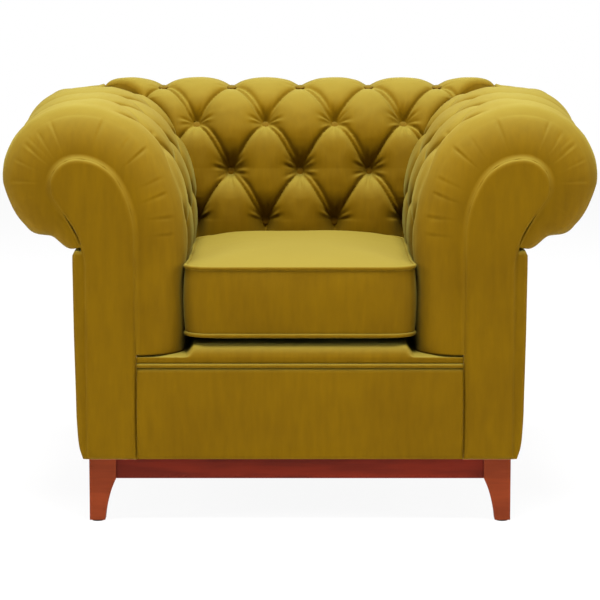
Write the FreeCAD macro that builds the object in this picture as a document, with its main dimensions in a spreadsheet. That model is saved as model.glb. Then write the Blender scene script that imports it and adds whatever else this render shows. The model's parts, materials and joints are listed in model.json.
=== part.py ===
# Chesterfield armchair: scroll arms, a deep-buttoned inside and a loose seat cushion on a wooden plinth.
# Millimetres. X runs across the chair, Y runs from the front to the back, Z is up.
# The origin is on the floor, under the middle of the chair. Right is +X, as seen from the front.
import FreeCAD, Part
import Sketcher
import math
import os

from FreeCAD import Rotation, Vector

# Driving sizes: alias, value in millimetres (or degrees and counts), what it is.
SIZES = [
    ("front_face", -443.0, "Y of the front of the wooden arm boards"),
    ("base_height", 120.0, "floor to the underside of the upholstered frame"),
    ("plinth_height", 38.0, "height of the show-wood plinth rails"),
    ("plinth_thick", 22.0, "thickness of the plinth rails"),
    ("plinth_setback", 4.0, "plinth rails behind the outer faces of the legs"),
    ("leg_inset", 6.0, "legs in from the outer face of the frame"),
    ("leg_top", 50.0, "width of a leg at the plinth"),
    ("leg_waist", 36.5, "width of a leg half way down its taper"),
    ("leg_foot", 29.0, "width of a leg at the floor"),
    ("glide_radius", 11.0, "radius of the felt glides"),
    ("glide_thick", 3.0, "thickness of the felt glides"),
    ("bolt_radius", 4.0, "radius of the leg bolts"),
    ("bolt_ease", 0.15, "clearance round the leg bolts"),
    ("bolt_inset", 42.0, "leg bolts behind the front and rear faces of the legs"),
    ("bolt_in_leg", 40.0, "depth of the bolt in the leg"),
    ("bolt_in_block", 62.0, "depth of the bolt in the corner block"),
    ("arm_outer", 401.0, "X of the outer face of the arm frame"),
    ("arm_width", 96.0, "thickness of the arm frame"),
    ("board_thick", 18.0, "thickness of the scroll-shaped boards"),
    ("board_top", 685.5, "height of the top of the scroll"),
    ("head_radius", 53.0, "outer radius of the scroll head"),
    ("crown_radius", 90.0, "inner radius of the arm scroll's crown"),
    ("lean_radius", 200.0, "radius of the inner arm face below the crown"),
    ("lean_start", 538.0, "height where the inner arm face starts to lean out"),
    ("neck_angle", 35.0, "slope of the neck under the scroll head, in degrees"),
    ("neck_radius", 150.0, "hollow under the scroll head"),
    ("back_inner", 196.0, "Y of the inner face of the back frame"),
    ("back_crown_radius", 60.0, "inner radius of the back scroll's crown"),
    ("back_lean_radius", 600.0, "radius of the inner back face"),
    ("back_lean_start", 451.0, "height where the inner back face starts to lean"),
    ("rail_thick", 25.0, "thickness of the seat rails"),
    ("rail_top", 298.0, "height of the top of the seat rails"),
    ("tack_height", 30.0, "height of the tack rails"),
    ("top_rail_width", 52.0, "width of the rails inside the scroll heads"),
    ("top_rail_height", 40.0, "height of the rails inside the scroll heads"),
    ("top_rail_level", 618.0, "underside of the rails inside the scroll heads"),
    ("post_width", 74.0, "width of the rear arm posts"),
    ("post_depth", 28.0, "depth of the rear arm posts"),
    ("upright_thick", 22.0, "thickness of the back uprights"),
    ("block_size", 62.0, "side of the corner blocks"),
    ("block_height", 90.0, "height of the corner blocks"),
    ("stretcher_width", 60.0, "width of the seat stretcher"),
    ("stretcher_height", 28.0, "height of the seat stretcher"),
    ("roll_board", 3.0, "thickness of the bent roll boards"),
    ("roll_board_start", 548.0, "height where the arm roll boards start"),
    ("back_board_start", 578.0, "height where the back roll board starts"),
    ("foam_thick", 30.0, "thickness of the foam over the roll boards"),
    ("board_end_angle", -30.0, "where the roll boards stop round the scroll head, in degrees"),
    ("foam_end_angle", -18.0, "where the foam stops round the scroll head, in degrees"),
    ("gap", 0.3, "clearance between soft pieces"),
    ("web_thick", 1.5, "thickness of the webbing"),
    ("web_count", 4.0, "number of webbing straps on each side"),
    ("web_width", 50.0, "width of the webbing"),
    ("arm_pad", 86.0, "tufted arm upholstery over the frame, at its pleats"),
    ("back_pad", 74.0, "tufted back upholstery over the frame, at its pleats"),
    ("arm_roll_pad", 89.0, "upholstery over the arm scrolls, at its pleats"),
    ("back_roll_pad", 99.0, "upholstery over the back scroll, at its pleats"),
    ("side_roll_pad", 82.0, "upholstery at the outermost side of a scroll head"),
    ("under_roll_pad", 66.0, "upholstery under the outer side of a scroll head"),
    ("neck_pad", 41.0, "upholstery at the neck under the scroll heads"),
    ("tuck_pad", 14.0, "upholstery where it tucks in over the outside panels"),
    ("tuck_angle", 17.0, "where it tucks in, round the neck's hollow, in degrees"),
    ("tuft_rise", 11.0, "rise of a pillow over its pleats"),
    ("roll_rise", 13.0, "rise of the scroll's swells over its pleats"),
    ("fullness", 4.0, "rise of the upholstery half way between its columns"),
    ("tuft_depth", 34.0, "depth of a low button under the pleats"),
    ("row_pitch", 110.0, "distance between button rows, round the upholstery"),
    ("crown_pitch", 110.0, "distance from the third button row to the top one"),
    ("low_row", 511.0, "height of the lowest button row"),
    ("back_pitch", 71.5, "half the distance between buttons across the back"),
    ("arm_pitch", 98.5, "half the distance between buttons along the arms"),
    ("first_column", -311.5, "Y of the first column of buttons on the arms"),
    ("front_swell", 74.0, "length of the rounded front of the arms"),
    ("pad_foot", 316.5, "height of the bottom of the tufted upholstery"),
    ("facing_thick", 7.0, "thickness of the scroll facings"),
    ("facing_inset", 2.0, "facings in from the edge of the arm boards"),
    ("facing_round", 4.0, "rounding of the facings' front edge"),
    ("panel_swell", 17.0, "how far the outside panels stand out"),
    ("panel_edge", 4.0, "thickness of the outside panels at their edges"),
    ("panel_top", 509.0, "height of the top of the outside panels"),
    ("apron_thick", 20.0, "thickness of the front border"),
    ("piping_radius", 4.0, "radius of the piping"),
    ("piping_height", 296.9, "height of the piping between the front border and the deck"),
    ("deck_top", 335.0, "height of the deck under the cushion"),
    ("deck_edge", 316.0, "height of the deck under the arm pads"),
    ("edge_round", 22.0, "rounding of the deck's front edge"),
    ("spring_count", 4.0, "number of seat springs"),
    ("spring_pitch", 98.0, "distance between seat springs"),
    ("spring_wire", 3.8, "diameter of the spring wire"),
    ("clip_floor", 1.0, "thickness of the clips under the springs"),
    ("spring_bend", 12.0, "radius of the spring bends"),
    ("spring_width", 54.0, "width of a spring"),
    ("felt_half", 255.0, "X of the felt's side edges"),
    ("felt_thick", 3.0, "thickness of the felt over the springs"),
    ("dust_thick", 1.2, "thickness of the dust cover"),
    ("cushion_room", 9.0, "space between the cushion's border and the arm pads"),
    ("cushion_front", -434.0, "Y of the front of the cushion's border"),
    ("cushion_back_room", 24.0, "space between the cushion's border and the back pad"),
    ("cushion_seam_low", 352.5, "height of the lower piping"),
    ("cushion_seam_high", 478.5, "height of the upper piping"),
    ("cushion_rest", 0.4, "gap between the cushion and the deck"),
    ("cushion_crown", 27.0, "rise of the cushion's top over its piping"),
    ("cushion_corner", 46.0, "radius of the cushion's corners"),
    ("border_thick", 9.0, "thickness of the cushion's border"),
    ("border_swell", 3.0, "how far the cushion's border swells"),
    ("zip_length", 340.0, "length of the cushion's zip"),
    ("zip_width", 28.0, "width of the zip tape"),
    ("zip_tape", 0.9, "thickness of the zip tape"),
    ("tooth_pitch", 5.0, "distance between the zip's teeth"),
    ("tooth_size", 2.4, "half the height of a zip tooth"),
    ("slider_width", 12.0, "length of the zip's slider"),
    ("corner_heart", 5.0, "small hole in the middle of the gathered corners"),
    ("button_margin", 22.0, "distance of a button from the mitres"),
    ("button_radius", 11.0, "radius of the covered buttons"),
    ("button_rise", 6.5, "height of a covered button"),
]

doc = FreeCAD.newDocument("Armchair")
sheet = doc.addObject("Spreadsheet::Sheet", "Sizes")


def fill_sheet(rows, first_line):
    """Writes sizes to the sheet and names their cells."""
    for line, (alias, number, words) in enumerate(rows, start=first_line):
        sheet.set(f"A{line}", words)
        sheet.set(f"B{line}", repr(number))
        sheet.setAlias(f"B{line}", alias)
    doc.recompute()


fill_sheet(SIZES, 1)
ALIASES = [row[0] for row in SIZES]


def size(alias):
    """The value of one driving size."""
    return float(sheet.get(alias))


def cells(rule):
    """A rule written with bare aliases, as an expression on the sheet."""
    for alias in sorted(ALIASES, key=len, reverse=True):
        rule = rule.replace("$" + alias, "Sizes." + alias)
    return rule


def block(label, x, y, z):
    """A box between two rules on each axis, bound to the sheet."""
    thing = doc.addObject("Part::Box", label)
    thing.Label = label
    for side, (low, high) in zip(("Length", "Width", "Height"), (x, y, z)):
        thing.setExpression(side, cells(f"({high}) - ({low})"))
    for axis, (low, _) in zip("xyz", (x, y, z)):
        thing.setExpression(f"Placement.Base.{axis}", cells(low))
    return thing


def rod(label, radius, height, x, y, z):
    """An upright cylinder whose foot stands at a place, bound to the sheet."""
    thing = doc.addObject("Part::Cylinder", label)
    thing.Label = label
    thing.setExpression("Radius", cells(radius))
    thing.setExpression("Height", cells(height))
    for axis, rule in zip("xyz", (x, y, z)):
        thing.setExpression(f"Placement.Base.{axis}", cells(rule))
    return thing


def cut(label, base, tool):
    """Base with tool taken away."""
    thing = doc.addObject("Part::Cut", label)
    thing.Label = label
    thing.Base = base
    thing.Tool = tool
    return thing


def gather(label, things):
    """Several like solids in one node."""
    thing = doc.addObject("Part::Compound", label)
    thing.Label = label
    thing.Links = things
    return thing


def feature(label, shape):
    """A sub-part whose shape is worked out here from the sheet's sizes."""
    thing = doc.addObject("Part::Feature", label)
    thing.Label = label
    thing.Shape = shape
    thing.Placement = FreeCAD.Placement()
    return thing


def mirrored(shape):
    """The same shape on the other side of the chair."""
    return shape.mirror(Vector(0, 0, 0), Vector(1, 0, 0))


class Scroll:
    """The outline of a scroll-shaped board: an inner face, a crown, a round head and a neck.

    Points are (u, z): u runs outwards from the seat, z is up.
    """

    def __init__(self, inner, lean_start, lean_radius, crown_radius, pad, roll_pad):
        self.inner = inner
        self.pad = pad
        self.roll_pad = roll_pad
        self.lean_start = lean_start
        self.lean_radius = lean_radius
        self.crown_radius = crown_radius
        top, head = size("board_top"), size("head_radius")
        rise = top - crown_radius - lean_start
        reach = math.sqrt((lean_radius - crown_radius) ** 2 - rise**2)
        self.axis = inner + lean_radius - reach
        self.lean_centre = (inner + lean_radius, lean_start)
        self.crown_centre = (self.axis, top - crown_radius)
        self.head_centre = (self.axis, top - head)
        self.lean_end = math.pi - math.atan2(rise, reach)
        self.head = head
        self.slope = math.radians(size("neck_angle"))
        # The outer face keeps the same distance to the scroll's axis on the arms and the back.
        self.outer = self.axis + size("arm_outer") - arm_axis()
        neck = size("neck_radius")
        start = (
            self.axis + head * math.cos(self.slope),
            self.head_centre[1] - head * math.sin(self.slope),
        )
        corner_z = start[1] - (start[0] - self.outer) / math.tan(self.slope)
        run = neck * math.tan(self.slope / 2)
        self.neck_start = (
            self.outer + run * math.sin(self.slope),
            corner_z + run * math.cos(self.slope),
        )
        self.neck_centre = (self.outer + neck, corner_z - run)
        self.neck = neck

    def pieces(self, off, foot, end_angle=None):
        """The outline, off outwards, as lists of points: 2 for a line and 3 for an arc.

        It starts at height foot on the inner face and ends on the head at end_angle, or at the neck.
        """
        stop = -self.slope if end_angle is None else math.radians(end_angle)
        found = [
            [(self.inner - off, foot), (self.inner - off, self.lean_start)],
            turn(self.lean_centre, self.lean_radius + off, math.pi, self.lean_end),
            turn(self.crown_centre, self.crown_radius + off, self.lean_end, math.pi / 2),
            turn(self.head_centre, self.head + off, math.pi / 2, stop),
        ]
        if end_angle is None:
            found.append([found[-1][-1], self.neck_point(off)])
        return found

    def neck_point(self, off):
        """The end of the neck's slope, off outwards."""
        u, z = self.neck_start
        return (u + off * math.cos(self.slope), z - off * math.sin(self.slope))

    def hollow(self, off, angle=0.0):
        """The arc under the neck, off outwards, down to an angle from level."""
        return turn(self.neck_centre, self.neck - off, math.pi - self.slope, math.pi - angle)

    def below_neck(self, off, foot):
        """The outline from the neck down the outer face to height foot."""
        bend = self.hollow(off)
        return [bend, [bend[-1], (self.outer + off, foot)]]

    def station(self, run, off):
        """The point on the board and its outward normal, a run along the outline off outwards.

        Run counts from the start of the inner face's lean, and is negative below it.
        """
        if run <= 0:
            return (self.inner, self.lean_start + run), (-1.0, 0.0)
        parts = (
            (self.lean_centre, self.lean_radius, math.pi, self.lean_end),
            (self.crown_centre, self.crown_radius, self.lean_end, math.pi / 2),
            (self.head_centre, self.head, math.pi / 2, -self.slope),
        )
        for centre, radius, start, stop in parts:
            length = (radius + off) * (start - stop)
            if run <= length:
                angle = start - run / (radius + off)
                break
            run -= length
        else:
            angle = stop
        normal = (math.cos(angle), math.sin(angle))
        return (centre[0] + radius * normal[0], centre[1] + radius * normal[1]), normal

    def length(self, off):
        """The run from the start of the lean to the end of the head, off outwards."""
        arcs = (
            (self.lean_radius, math.pi - self.lean_end),
            (self.crown_radius, self.lean_end - math.pi / 2),
            (self.head, math.pi / 2 + self.slope),
        )
        return sum((radius + off) * angle for radius, angle in arcs)


def turn(centre, radius, start, stop):
    """Three points of an arc: its start, middle and end."""
    angles = (start, (start + stop) / 2, stop)
    return [(centre[0] + radius * math.cos(a), centre[1] + radius * math.sin(a)) for a in angles]


def arm_axis():
    """X of the axis of the arm's scroll head."""
    inner = size("arm_outer") - size("arm_width")
    rise = size("board_top") - size("crown_radius") - size("lean_start")
    reach = math.sqrt((size("lean_radius") - size("crown_radius")) ** 2 - rise**2)
    return inner + size("lean_radius") - reach


arm = Scroll(
    size("arm_outer") - size("arm_width"),
    size("lean_start"),
    size("lean_radius"),
    size("crown_radius"),
    size("arm_pad"),
    size("arm_roll_pad"),
)
back = Scroll(
    size("back_inner"),
    size("back_lean_start"),
    size("back_lean_radius"),
    size("back_crown_radius"),
    size("back_pad"),
    size("back_roll_pad"),
)


def across(place):
    """Puts an outline's points in a plane square to Y, for the arms."""
    return lambda point: Vector(point[0], place, point[1])


def along(place):
    """Puts an outline's points in a plane square to X, for the back."""
    return lambda point: Vector(place, point[0], point[1])


def wire(pieces, put):
    """A wire through lines and arcs."""
    edges = []
    for points in pieces:
        ends = [put(point) for point in points]
        edges.append((Part.Arc(*ends) if len(ends) == 3 else Part.LineSegment(*ends)).toShape())
    return Part.Wire(edges)


def backwards(pieces):
    """The same outline run the other way."""
    return [points[::-1] for points in pieces[::-1]]


def closed(out, back_again=()):
    """An outline closed with a line, or with a second outline run backwards."""
    found = list(out)
    for points in backwards(list(back_again)):
        if math.dist(found[-1][-1], points[0]) > 1e-6:
            found.append([found[-1][-1], points[0]])
        found.append(points)
    return found + [[found[-1][-1], found[0][0]]]


def prism(pieces, put, travel):
    """A closed outline pushed along travel."""
    return Part.Face(wire(pieces, put)).extrude(travel)


def plan(points, low, high):
    """An upright prism over a polygon in plan."""
    corners = [Vector(x, y, low) for x, y in points]
    return Part.Face(Part.makePolygon(corners + corners[:1])).extrude(Vector(0, 0, high - low))


def room(x, y, z):
    """A plain box shape between two values on each axis."""
    corner = Vector(x[0], y[0], z[0])
    return Part.makeBox(x[1] - x[0], y[1] - y[0], z[1] - z[0], corner)


GAP = size("gap")
FRONT = size("front_face")
BASE = size("base_height")
AXIS_X = arm.axis
AXIS_Y = back.axis
REAR = back.outer
TALL = size("board_top") + 2 * back.roll_pad
FAR = 2 * AXIS_X


# Mitres: the tufted arm and back meet on upright planes through the corner of the scroll axes.
def mitre_slope():
    """How much the mitre runs forwards for each millimetre inwards."""
    arm_reach = AXIS_X - (arm.inner - arm.pad)
    back_reach = AXIS_Y - (back.inner - back.pad)
    return back_reach / arm_reach


def arm_side():
    """The space of the right arm's upholstery, up to the mitre."""
    slope, ease = mitre_slope(), GAP / 2
    inward = AXIS_X
    corner = (AXIS_X, AXIS_Y - ease)
    inner = (0.0, AXIS_Y - ease - slope * inward)
    return plan([corner, inner, (0.0, -FAR), (FAR, -FAR), (FAR, AXIS_Y - ease)], 0, TALL)


def back_side():
    """The space of the back's upholstery, between the mitres."""
    slope, ease = mitre_slope(), GAP / 2
    deep = AXIS_Y + ease - slope * AXIS_X
    half = [(AXIS_X - ease, FAR), (AXIS_X - ease, AXIS_Y + ease), (0.0, deep)]
    other = [(-x, y) for x, y in half[:2][::-1]]
    return plan(half + other, 0, TALL)


ARM_SIDE = arm_side()
BACK_SIDE = back_side()

# Rear sizes follow from the back's scroll. They go to the sheet too, for the boxes bound to them.
FOLLOWERS = [
    ("rear_face", REAR, "Y of the rear face of the frame"),
    ("scroll_x", AXIS_X, "X of the arm's scroll axis"),
    ("scroll_y", AXIS_Y, "Y of the back's scroll axis"),
]
fill_sheet(FOLLOWERS, len(SIZES) + 1)
ALIASES += [row[0] for row in FOLLOWERS]
BLOCK_LOW = "$base_height - 1"

# Plinth and legs.
leg_rear = REAR - size("leg_inset")
leg_front = FRONT + size("leg_inset")
leg_edge = size("arm_outer") - size("leg_inset")
leg_height = BASE - size("glide_thick")


def rectangle(sketch, width, height):
    """A rectangle from the sketch's origin, its sides bound to two rules."""
    corners = [Vector(0, 0, 0), Vector(30, 0, 0), Vector(30, 40, 0), Vector(0, 40, 0)]
    for start, end in zip(corners, corners[1:] + corners[:1]):
        sketch.addGeometry(Part.LineSegment(start, end))
    for side in range(4):
        sketch.addConstraint(Sketcher.Constraint("Coincident", side, 2, (side + 1) % 4, 1))
    for side, kind in enumerate(("Horizontal", "Vertical", "Horizontal", "Vertical")):
        sketch.addConstraint(Sketcher.Constraint(kind, side))
    sketch.addConstraint(Sketcher.Constraint("Coincident", 0, 1, -1, 1))
    wide = sketch.addConstraint(Sketcher.Constraint("DistanceX", 0, 1, 0, 2, 30.0))
    high = sketch.addConstraint(Sketcher.Constraint("DistanceY", 1, 1, 1, 2, 40.0))
    sketch.setExpression(f"Constraints[{wide}]", width)
    sketch.setExpression(f"Constraints[{high}]", height)


def flat_sketch(body, name, plane):
    """An empty sketch on one of the body's own origin planes."""
    planes = {flat.Role: flat for flat in body.Origin.OriginFeatures}
    plot = body.newObject("Sketcher::SketchObject", name)
    plot.AttachmentSupport = [(planes[plane], "")]
    plot.MapMode = "FlatFace"
    return plot


def shave(body, name, sketch, before):
    """A pocket through the whole body, which has to take something away."""
    pocket = body.newObject("PartDesign::Pocket", name)
    pocket.Profile = sketch
    pocket.Type = "ThroughAll"
    pocket.Midplane = True
    doc.recompute()
    if pocket.Shape.Volume >= before.Shape.Volume:
        raise RuntimeError(f"{name} cut nothing")
    return pocket


def leg(label, x, y, turned):
    """A leg whose two inner faces curve in below the plinth. Its outer corner is at x, y."""
    body = doc.addObject("PartDesign::Body", label)
    body.Label = label
    plot = flat_sketch(body, label + "_plan", "XY_Plane")
    rectangle(plot, cells("$leg_top"), cells("$leg_top"))
    stem = body.newObject("PartDesign::Pad", label + "_stem")
    stem.Profile = plot
    stem.setExpression("Length", cells("$base_height - $glide_thick"))
    doc.recompute()
    last = stem
    shoulder = leg_height - size("plinth_height")
    wide = size("leg_top") + 1.0
    for plane in ("XZ_Plane", "YZ_Plane"):
        taper = flat_sketch(body, f"{label}_taper_{plane[:2]}", plane)
        top = Vector(size("leg_top"), shoulder, 0)
        waist = Vector(size("leg_waist"), shoulder * 0.54, 0)
        foot = Vector(size("leg_foot"), 0, 0)
        beside, under = Vector(wide, shoulder, 0), Vector(wide, 0, 0)
        taper.addGeometry(Part.Arc(top, waist, foot))
        for start, end in ((foot, under), (under, beside), (beside, top)):
            taper.addGeometry(Part.LineSegment(start, end))
        last = shave(body, f"{label}_shave_{plane[:2]}", taper, last)
    body.Placement = FreeCAD.Placement(
        Vector(x, y, size("glide_thick")), Rotation(Vector(0, 0, 1), turned)
    )
    return body


leg_places = [(sx, sy) for sy in (0, 1) for sx in (-1, 1)]
LEG_FRONT = "($front_face + $leg_inset)"
LEG_REAR = "($rear_face - $leg_inset)"
LEG_X = "($arm_outer - $leg_inset)"
PLINTH_Z = ("$base_height - $plinth_height", "$base_height")


def bolt_place(sx, sy):
    """Rules for the place of a leg's bolt, by the leg's side and its end."""
    x = f"{sx} * ($arm_outer - $leg_inset - $leg_top / 2)"
    y = f"({LEG_REAR} - $bolt_inset)" if sy else f"({LEG_FRONT} + $bolt_inset)"
    return x, y


def drilled_leg(label, sx, sy):
    """A leg with its bolt hole."""
    place = {(-1, 0): 0, (1, 0): 90, (1, 1): 180, (-1, 1): 270}[sx, sy]
    whole = leg(label + "_body", sx * leg_edge, leg_rear if sy else leg_front, place)
    mx, my = bolt_place(sx, sy)
    low = "$base_height - $bolt_in_leg - 2 * $gap"
    drill = rod(label + "_drill", "$bolt_radius + $bolt_ease", "$bolt_in_leg + 5", mx, my, low)
    return cut(label, whole, drill)


parts = [
    drilled_leg("leg_front_left", -1, 0),
    drilled_leg("leg_front_right", 1, 0),
    drilled_leg("leg_rear_left", -1, 1),
    drilled_leg("leg_rear_right", 1, 1),
]
glides = [
    rod(f"glide_{n}", "$glide_radius", "$glide_thick", *glide_rules, "0")
    for n, glide_rules in enumerate(
        (
            f"{sx} * ($arm_outer - $leg_inset - $leg_foot / 2)",
            f"({LEG_REAR} - $leg_foot / 2)" if sy else f"({LEG_FRONT} + $leg_foot / 2)",
        )
        for sx, sy in leg_places
    )
]
parts.append(gather("leg_glides", glides))
BOLT = "$bolt_in_leg + $bolt_in_block"
bolts = [
    rod(f"bolt_{n}", "$bolt_radius", BOLT, *bolt_place(*at), "$base_height - $bolt_in_leg")
    for n, at in enumerate(leg_places)
]
parts.append(gather("leg_bolts", bolts))

INNER_LEG = "($arm_outer - $leg_inset - $leg_top)"
FRONT_PLINTH = LEG_FRONT + " + $plinth_setback"
REAR_PLINTH = LEG_REAR + " - $plinth_setback"
parts.append(
    block(
        "plinth_rail_front",
        ("-" + INNER_LEG, INNER_LEG),
        (FRONT_PLINTH, FRONT_PLINTH + " + $plinth_thick"),
        PLINTH_Z,
    )
)
parts.append(
    block(
        "plinth_rail_rear",
        ("-" + INNER_LEG, INNER_LEG),
        (REAR_PLINTH + " - $plinth_thick", REAR_PLINTH),
        PLINTH_Z,
    )
)
SIDE_OUT = f"({LEG_X} - $plinth_setback)"
SIDE_IN = f"({LEG_X} - $plinth_setback - $plinth_thick)"
SIDE_Y = (LEG_FRONT + " + $leg_top", LEG_REAR + " - $leg_top")
parts.append(block("plinth_rail_left", ("-" + SIDE_OUT, "-" + SIDE_IN), SIDE_Y, PLINTH_Z))
parts.append(block("plinth_rail_right", (SIDE_IN, SIDE_OUT), SIDE_Y, PLINTH_Z))
parts.append(
    block(
        "dust_cover",
        (f"-{SIDE_IN} + $gap", f"{SIDE_IN} - $gap"),
        (f"{SIDE_Y[0]} + $gap", f"{SIDE_Y[1]} - $gap"),
        ("$base_height - $dust_thick", "$base_height"),
    )
)

# Seat frame: four rails round the seat, with blocks in the corners for the leg bolts.
RAIL_Z = ("$base_height", "$rail_top")
BOARD_BACK = "($front_face + $board_thick)"
FRONT_IN = "($front_face + $board_thick + $rail_thick)"
RAIL_IN = "($arm_outer - $rail_thick)"
REAR_IN = "($rear_face - $rail_thick)"
parts.append(block("seat_rail_front", ("-" + RAIL_IN, RAIL_IN), (BOARD_BACK, FRONT_IN), RAIL_Z))
parts.append(block("seat_rail_rear", ("-" + RAIL_IN, RAIL_IN), (REAR_IN, "$rear_face"), RAIL_Z))
RAIL_Y = (BOARD_BACK, "$rear_face")
parts.append(block("seat_rail_left", ("-$arm_outer", "-" + RAIL_IN), RAIL_Y, RAIL_Z))
parts.append(block("seat_rail_right", (RAIL_IN, "$arm_outer"), RAIL_Y, RAIL_Z))
parts.append(
    block(
        "seat_stretcher",
        ("-$stretcher_width / 2", "$stretcher_width / 2"),
        (FRONT_IN, REAR_IN),
        ("$base_height", "$base_height + $stretcher_height"),
    )
)
corner_blocks = []
for n, (sx, sy) in enumerate(leg_places):
    ends = (f"{RAIL_IN} - $block_size", RAIL_IN)
    x = ends if sx > 0 else (f"-({ends[1]})", f"-({ends[0]})")
    y = (f"{REAR_IN} - $block_size", REAR_IN) if sy else (FRONT_IN, f"{FRONT_IN} + $block_size")
    whole = block(f"block_{n}", x, y, ("$base_height", "$base_height + $block_height"))
    mx, my = bolt_place(sx, sy)
    hole = rod(f"block_hole_{n}", "$bolt_radius + $bolt_ease", "$block_height", mx, my, BLOCK_LOW)
    corner_blocks.append(cut(f"corner_block_{n}", whole, hole))
parts.append(gather("corner_blocks", corner_blocks))


def both_sides(label, x, y, z):
    """The same box on both sides of the chair, in one node."""
    other = (f"-({x[1]})", f"-({x[0]})")
    return gather(label, [block(label + "_a", other, y, z), block(label + "_b", x, y, z)])


# Arm frames: a scroll-shaped board in front, a post behind, and rails between them.
outline = closed(arm.pieces(0, BASE) + arm.below_neck(0, BASE))
board = prism(outline, across(FRONT), Vector(0, size("board_thick"), 0))
parts.append(feature("arm_board_left", mirrored(board)))
parts.append(feature("arm_board_right", board))
POST_FRONT = f"({REAR_IN} - $post_depth)"
ARM_IN = "($arm_outer - $arm_width)"
TACK_Z = ("$deck_top + $tack_height / 2", "$deck_top + 1.5 * $tack_height")
TOP_Z = ("$top_rail_level", "$top_rail_level + $top_rail_height")
parts.append(
    both_sides(
        "arm_posts",
        ("$arm_outer - $gap - $post_width", "$arm_outer - $gap"),
        (POST_FRONT, REAR_IN),
        ("$rail_top", "$top_rail_level"),
    )
)
parts.append(
    both_sides(
        "arm_tack_rails", (ARM_IN, ARM_IN + " + $rail_thick"), (BOARD_BACK, POST_FRONT), TACK_Z
    )
)
parts.append(
    both_sides(
        "arm_top_rails",
        ("$scroll_x - $top_rail_width / 2", "$scroll_x + $top_rail_width / 2"),
        (BOARD_BACK, "$scroll_y + $top_rail_width / 2"),
        TOP_Z,
    )
)

# Back frame: three scroll-shaped uprights on the rear rail, a top rail and a tack rail.
TOP_END = "($scroll_x - $top_rail_width / 2)"
TOP_Y = ("$scroll_y - $top_rail_width / 2", "$scroll_y + $top_rail_width / 2")
parts.append(block("back_top_rail", ("-" + TOP_END, TOP_END), TOP_Y, TOP_Z))
TACK_END = f"({ARM_IN} - 2 * $gap)"
TACK_Y = ("$back_inner", "$back_inner + $rail_thick")
parts.append(block("back_tack_rail", ("-" + TACK_END, TACK_END), TACK_Y, TACK_Z))
half_rail = size("top_rail_width") / 2
rail_low = size("top_rail_level")
tack_low = size("deck_top") + size("tack_height") / 2
slot = room(
    (-FAR, FAR),
    (AXIS_Y - half_rail, AXIS_Y + half_rail),
    (rail_low, rail_low + size("top_rail_height")),
)
tack_slot = room(
    (-FAR, FAR),
    (back.inner - 1, back.inner + size("rail_thick")),
    (tack_low, tack_low + size("tack_height")),
)
upright_x = arm.inner - size("upright_thick") / 2 - 2 * GAP
uprights = []
for middle in (-upright_x, 0.0, upright_x):
    rail_top = size("rail_top")
    outline = closed(back.pieces(0, rail_top) + back.below_neck(0, rail_top))
    start = middle - size("upright_thick") / 2
    upright = prism(outline, along(start), Vector(size("upright_thick"), 0, 0))
    uprights.append(upright.cut(slot).cut(tack_slot))
parts.append(feature("back_uprights", Part.makeCompound(uprights)))


# Bent boards, webbing and foam over the frame.
def layer(scroll, put, travel, inside, outside, foot, end_angle):
    """A skin of even thickness over a scroll, from inside to outside of the board's outline."""
    skin = scroll.pieces(outside, foot, end_angle)
    return prism(closed(skin, scroll.pieces(inside, foot, end_angle)), put, travel)


BOARD_OUT = GAP + size("roll_board")
FOAM_IN = BOARD_OUT + GAP
FOAM_OUT = FOAM_IN + size("foam_thick")
FOOT = size("pad_foot")
FOAM_END = size("foam_end_angle")
BOARD_END = size("board_end_angle")
arm_start = FRONT + size("board_thick")
arm_travel = Vector(0, FAR, 0)
back_travel = Vector(2 * FAR, 0, 0)


def above(height):
    """Everything over a height."""
    return room((-FAR, FAR), (-FAR, FAR), (height, TALL))


arm_roll = layer(arm, across(arm_start), arm_travel, GAP, BOARD_OUT, FOOT, BOARD_END)
arm_roll = arm_roll.common(above(size("roll_board_start"))).common(ARM_SIDE)
parts.append(feature("arm_roll_boards", Part.makeCompound([mirrored(arm_roll), arm_roll])))
back_roll = layer(back, along(-FAR), back_travel, GAP, BOARD_OUT, FOOT, BOARD_END)
back_roll = back_roll.common(above(size("back_board_start"))).common(BACK_SIDE)
parts.append(feature("back_roll_board", back_roll))

WEB_OUT = GAP + size("web_thick")


def straps(scroll, put, travel, low, high, top):
    """Upright webbing straps, evenly spaced, from the tack rail to the bent board."""
    count = int(size("web_count"))
    pitch = (high - low) / count
    found = []
    for n in range(count):
        start = low + pitch * (n + 0.5) - size("web_width") / 2
        strap = layer(scroll, put(start), travel, GAP, WEB_OUT, tack_low, 0.0)
        found.append(strap.cut(above(top)))
    return found


wide = Vector(0, size("web_width"), 0)
arm_top = size("roll_board_start") - GAP
arm_webs = straps(arm, across, wide, arm_start, back.inner - back.pad, arm_top)
arm_webs += [mirrored(strap) for strap in arm_webs]
wide = Vector(size("web_width"), 0, 0)
web_end = upright_x - size("upright_thick") / 2
back_top = size("back_board_start") - GAP
back_webs = straps(back, along, wide, -web_end, web_end, back_top)
parts.append(feature("webbing", Part.makeCompound(arm_webs + back_webs)))

arm_foam = layer(arm, across(arm_start), arm_travel, FOAM_IN, FOAM_OUT, FOOT, FOAM_END)
arm_foam = arm_foam.common(ARM_SIDE)
parts.append(feature("arm_foam_left", mirrored(arm_foam)))
parts.append(feature("arm_foam_right", arm_foam))
back_foam = layer(back, along(-FAR), back_travel, FOAM_IN, FOAM_OUT, FOOT, FOAM_END)
parts.append(feature("back_foam", back_foam.common(BACK_SIDE)))


# Tufted upholstery: sections through the button columns, lofted along the arm or across the back.
# A section has a point on each row: the foot, half way to the buttons, four button rows from the
# lowest up, and four points round the roll.
FIRST_TUFT = 2
LAST_TUFT = 5


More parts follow.
